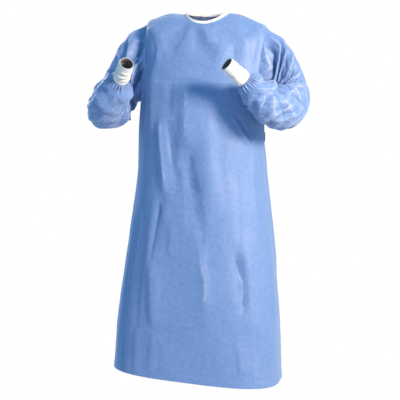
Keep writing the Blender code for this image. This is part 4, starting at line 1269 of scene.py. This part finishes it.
studio = {
    "floor": -1.50,
    "floorSize": 16.0,
    "floorCells": 8,
    "floorPaint": {"Base Color": (0.62, 0.63, 0.65, 1.0), "Roughness": 0.9, "Specular IOR Level": 0.1},
    "aimUp": 0.32,  # the lamps hang this much higher than the camera's target would put them
    # name, direction, distance, size, power, colour
    "lamps": (
        ("keyLight", (0.78, -0.58, 0.34), 2.8, 0.66, 134.0, (1.0, 0.83, 0.64)),
        ("fillLight", (-0.55, -0.80, 0.25), 4.0, 3.0, 4.0, (0.75, 0.88, 1.0)),
        ("backLight", (-0.80, 0.75, 0.45), 4.0, 1.2, 60.0, (1.0, 0.94, 0.86)),
    ),
    "sky": (0.28, 0.66, 1.0, 1.0),
    "skyStrength": 0.76,
    "target": (-0.025, 0.0, -0.630),
    "azimuth": 12.0,
    "elevation": 4.0,
    "distance": 3.40,
    "lens": 90.0,
    "sensor": 36.0,
}


def lamp(name, direction, away, size, power, colour):
    # a round lamp, facing back along its direction from the target
    data = bpy.data.lights.new(name, "AREA")
    data.shape = "DISK"
    data.size = size
    data.energy = power
    data.color = colour
    made = bpy.data.objects.new(name, data)
    way = unit(direction)
    made.location = np.array(studio["target"]) + way * away + np.array((0, 0, studio["aimUp"]))
    made.rotation_euler = (math.acos(way[2]), 0.0, math.atan2(way[0], -way[1]))
    bpy.context.scene.collection.objects.link(made)


def shownAs(tree, plain, seen, target):
    # one shader for all rays but the camera's own, which get the other
    path = tree.nodes.new("ShaderNodeLightPath")
    choose = tree.nodes.new("ShaderNodeMixShader")
    tree.links.new(path.outputs["Is Camera Ray"], choose.inputs[0])
    tree.links.new(plain, choose.inputs[1])
    tree.links.new(seen, choose.inputs[2])
    tree.links.new(choose.outputs[0], target)


for settings in studio["lamps"]:
    lamp(*settings)

world = bpy.data.worlds.new("studioWorld")
world.use_nodes = True
tree = world.node_tree
sky = tree.nodes["Background"]
sky.inputs[0].default_value = studio["sky"]
sky.inputs[1].default_value = studio["skyStrength"]
white = tree.nodes.new("ShaderNodeBackground")
white.inputs[0].default_value = (1.0, 1.0, 1.0, 1.0)
shownAs(tree, sky.outputs[0], white.outputs[0], tree.nodes["World Output"].inputs[0])
bpy.context.scene.world = world

floorPaint = Finish("paleFloor", studio["floorPaint"])
tree = floorPaint.tree
glow = tree.nodes.new("ShaderNodeEmission")
shownAs(tree, floorPaint.shader.outputs[0], glow.outputs[0], tree.nodes["Material Output"].inputs[0])
cells = studio["floorCells"]
spots = np.linspace(-0.5, 0.5, cells + 1) * studio["floorSize"]
gx, gy = np.meshgrid(spots, spots)
grid = np.stack([gx, gy, 0 * gx + studio["floor"]], -1)
ids, uvs = gridFaces(grid[..., :2], cells + 1, cells + 1, cells)
floor = meshFrom("paleFloor", grid.reshape(-1, 3), ids, uvs, {}, 30)
floor.data.materials.append(floorPaint.material)

azimuth, elevation = math.radians(studio["azimuth"]), math.radians(studio["elevation"])
flat = math.cos(elevation)
back = np.array((math.sin(azimuth) * flat, -math.cos(azimuth) * flat, math.sin(elevation)))
cameraData = bpy.data.cameras.new("photoCamera")
cameraData.lens = studio["lens"]
cameraData.sensor_width = studio["sensor"]
camera = bpy.data.objects.new("photoCamera", cameraData)
camera.location = np.array(studio["target"]) + back * studio["distance"]
camera.rotation_euler = (math.pi / 2 - elevation, 0.0, azimuth)
bpy.context.scene.collection.objects.link(camera)
bpy.context.scene.camera = camera
bpy.context.scene.view_settings.view_transform = "Standard"
print("light and camera set")
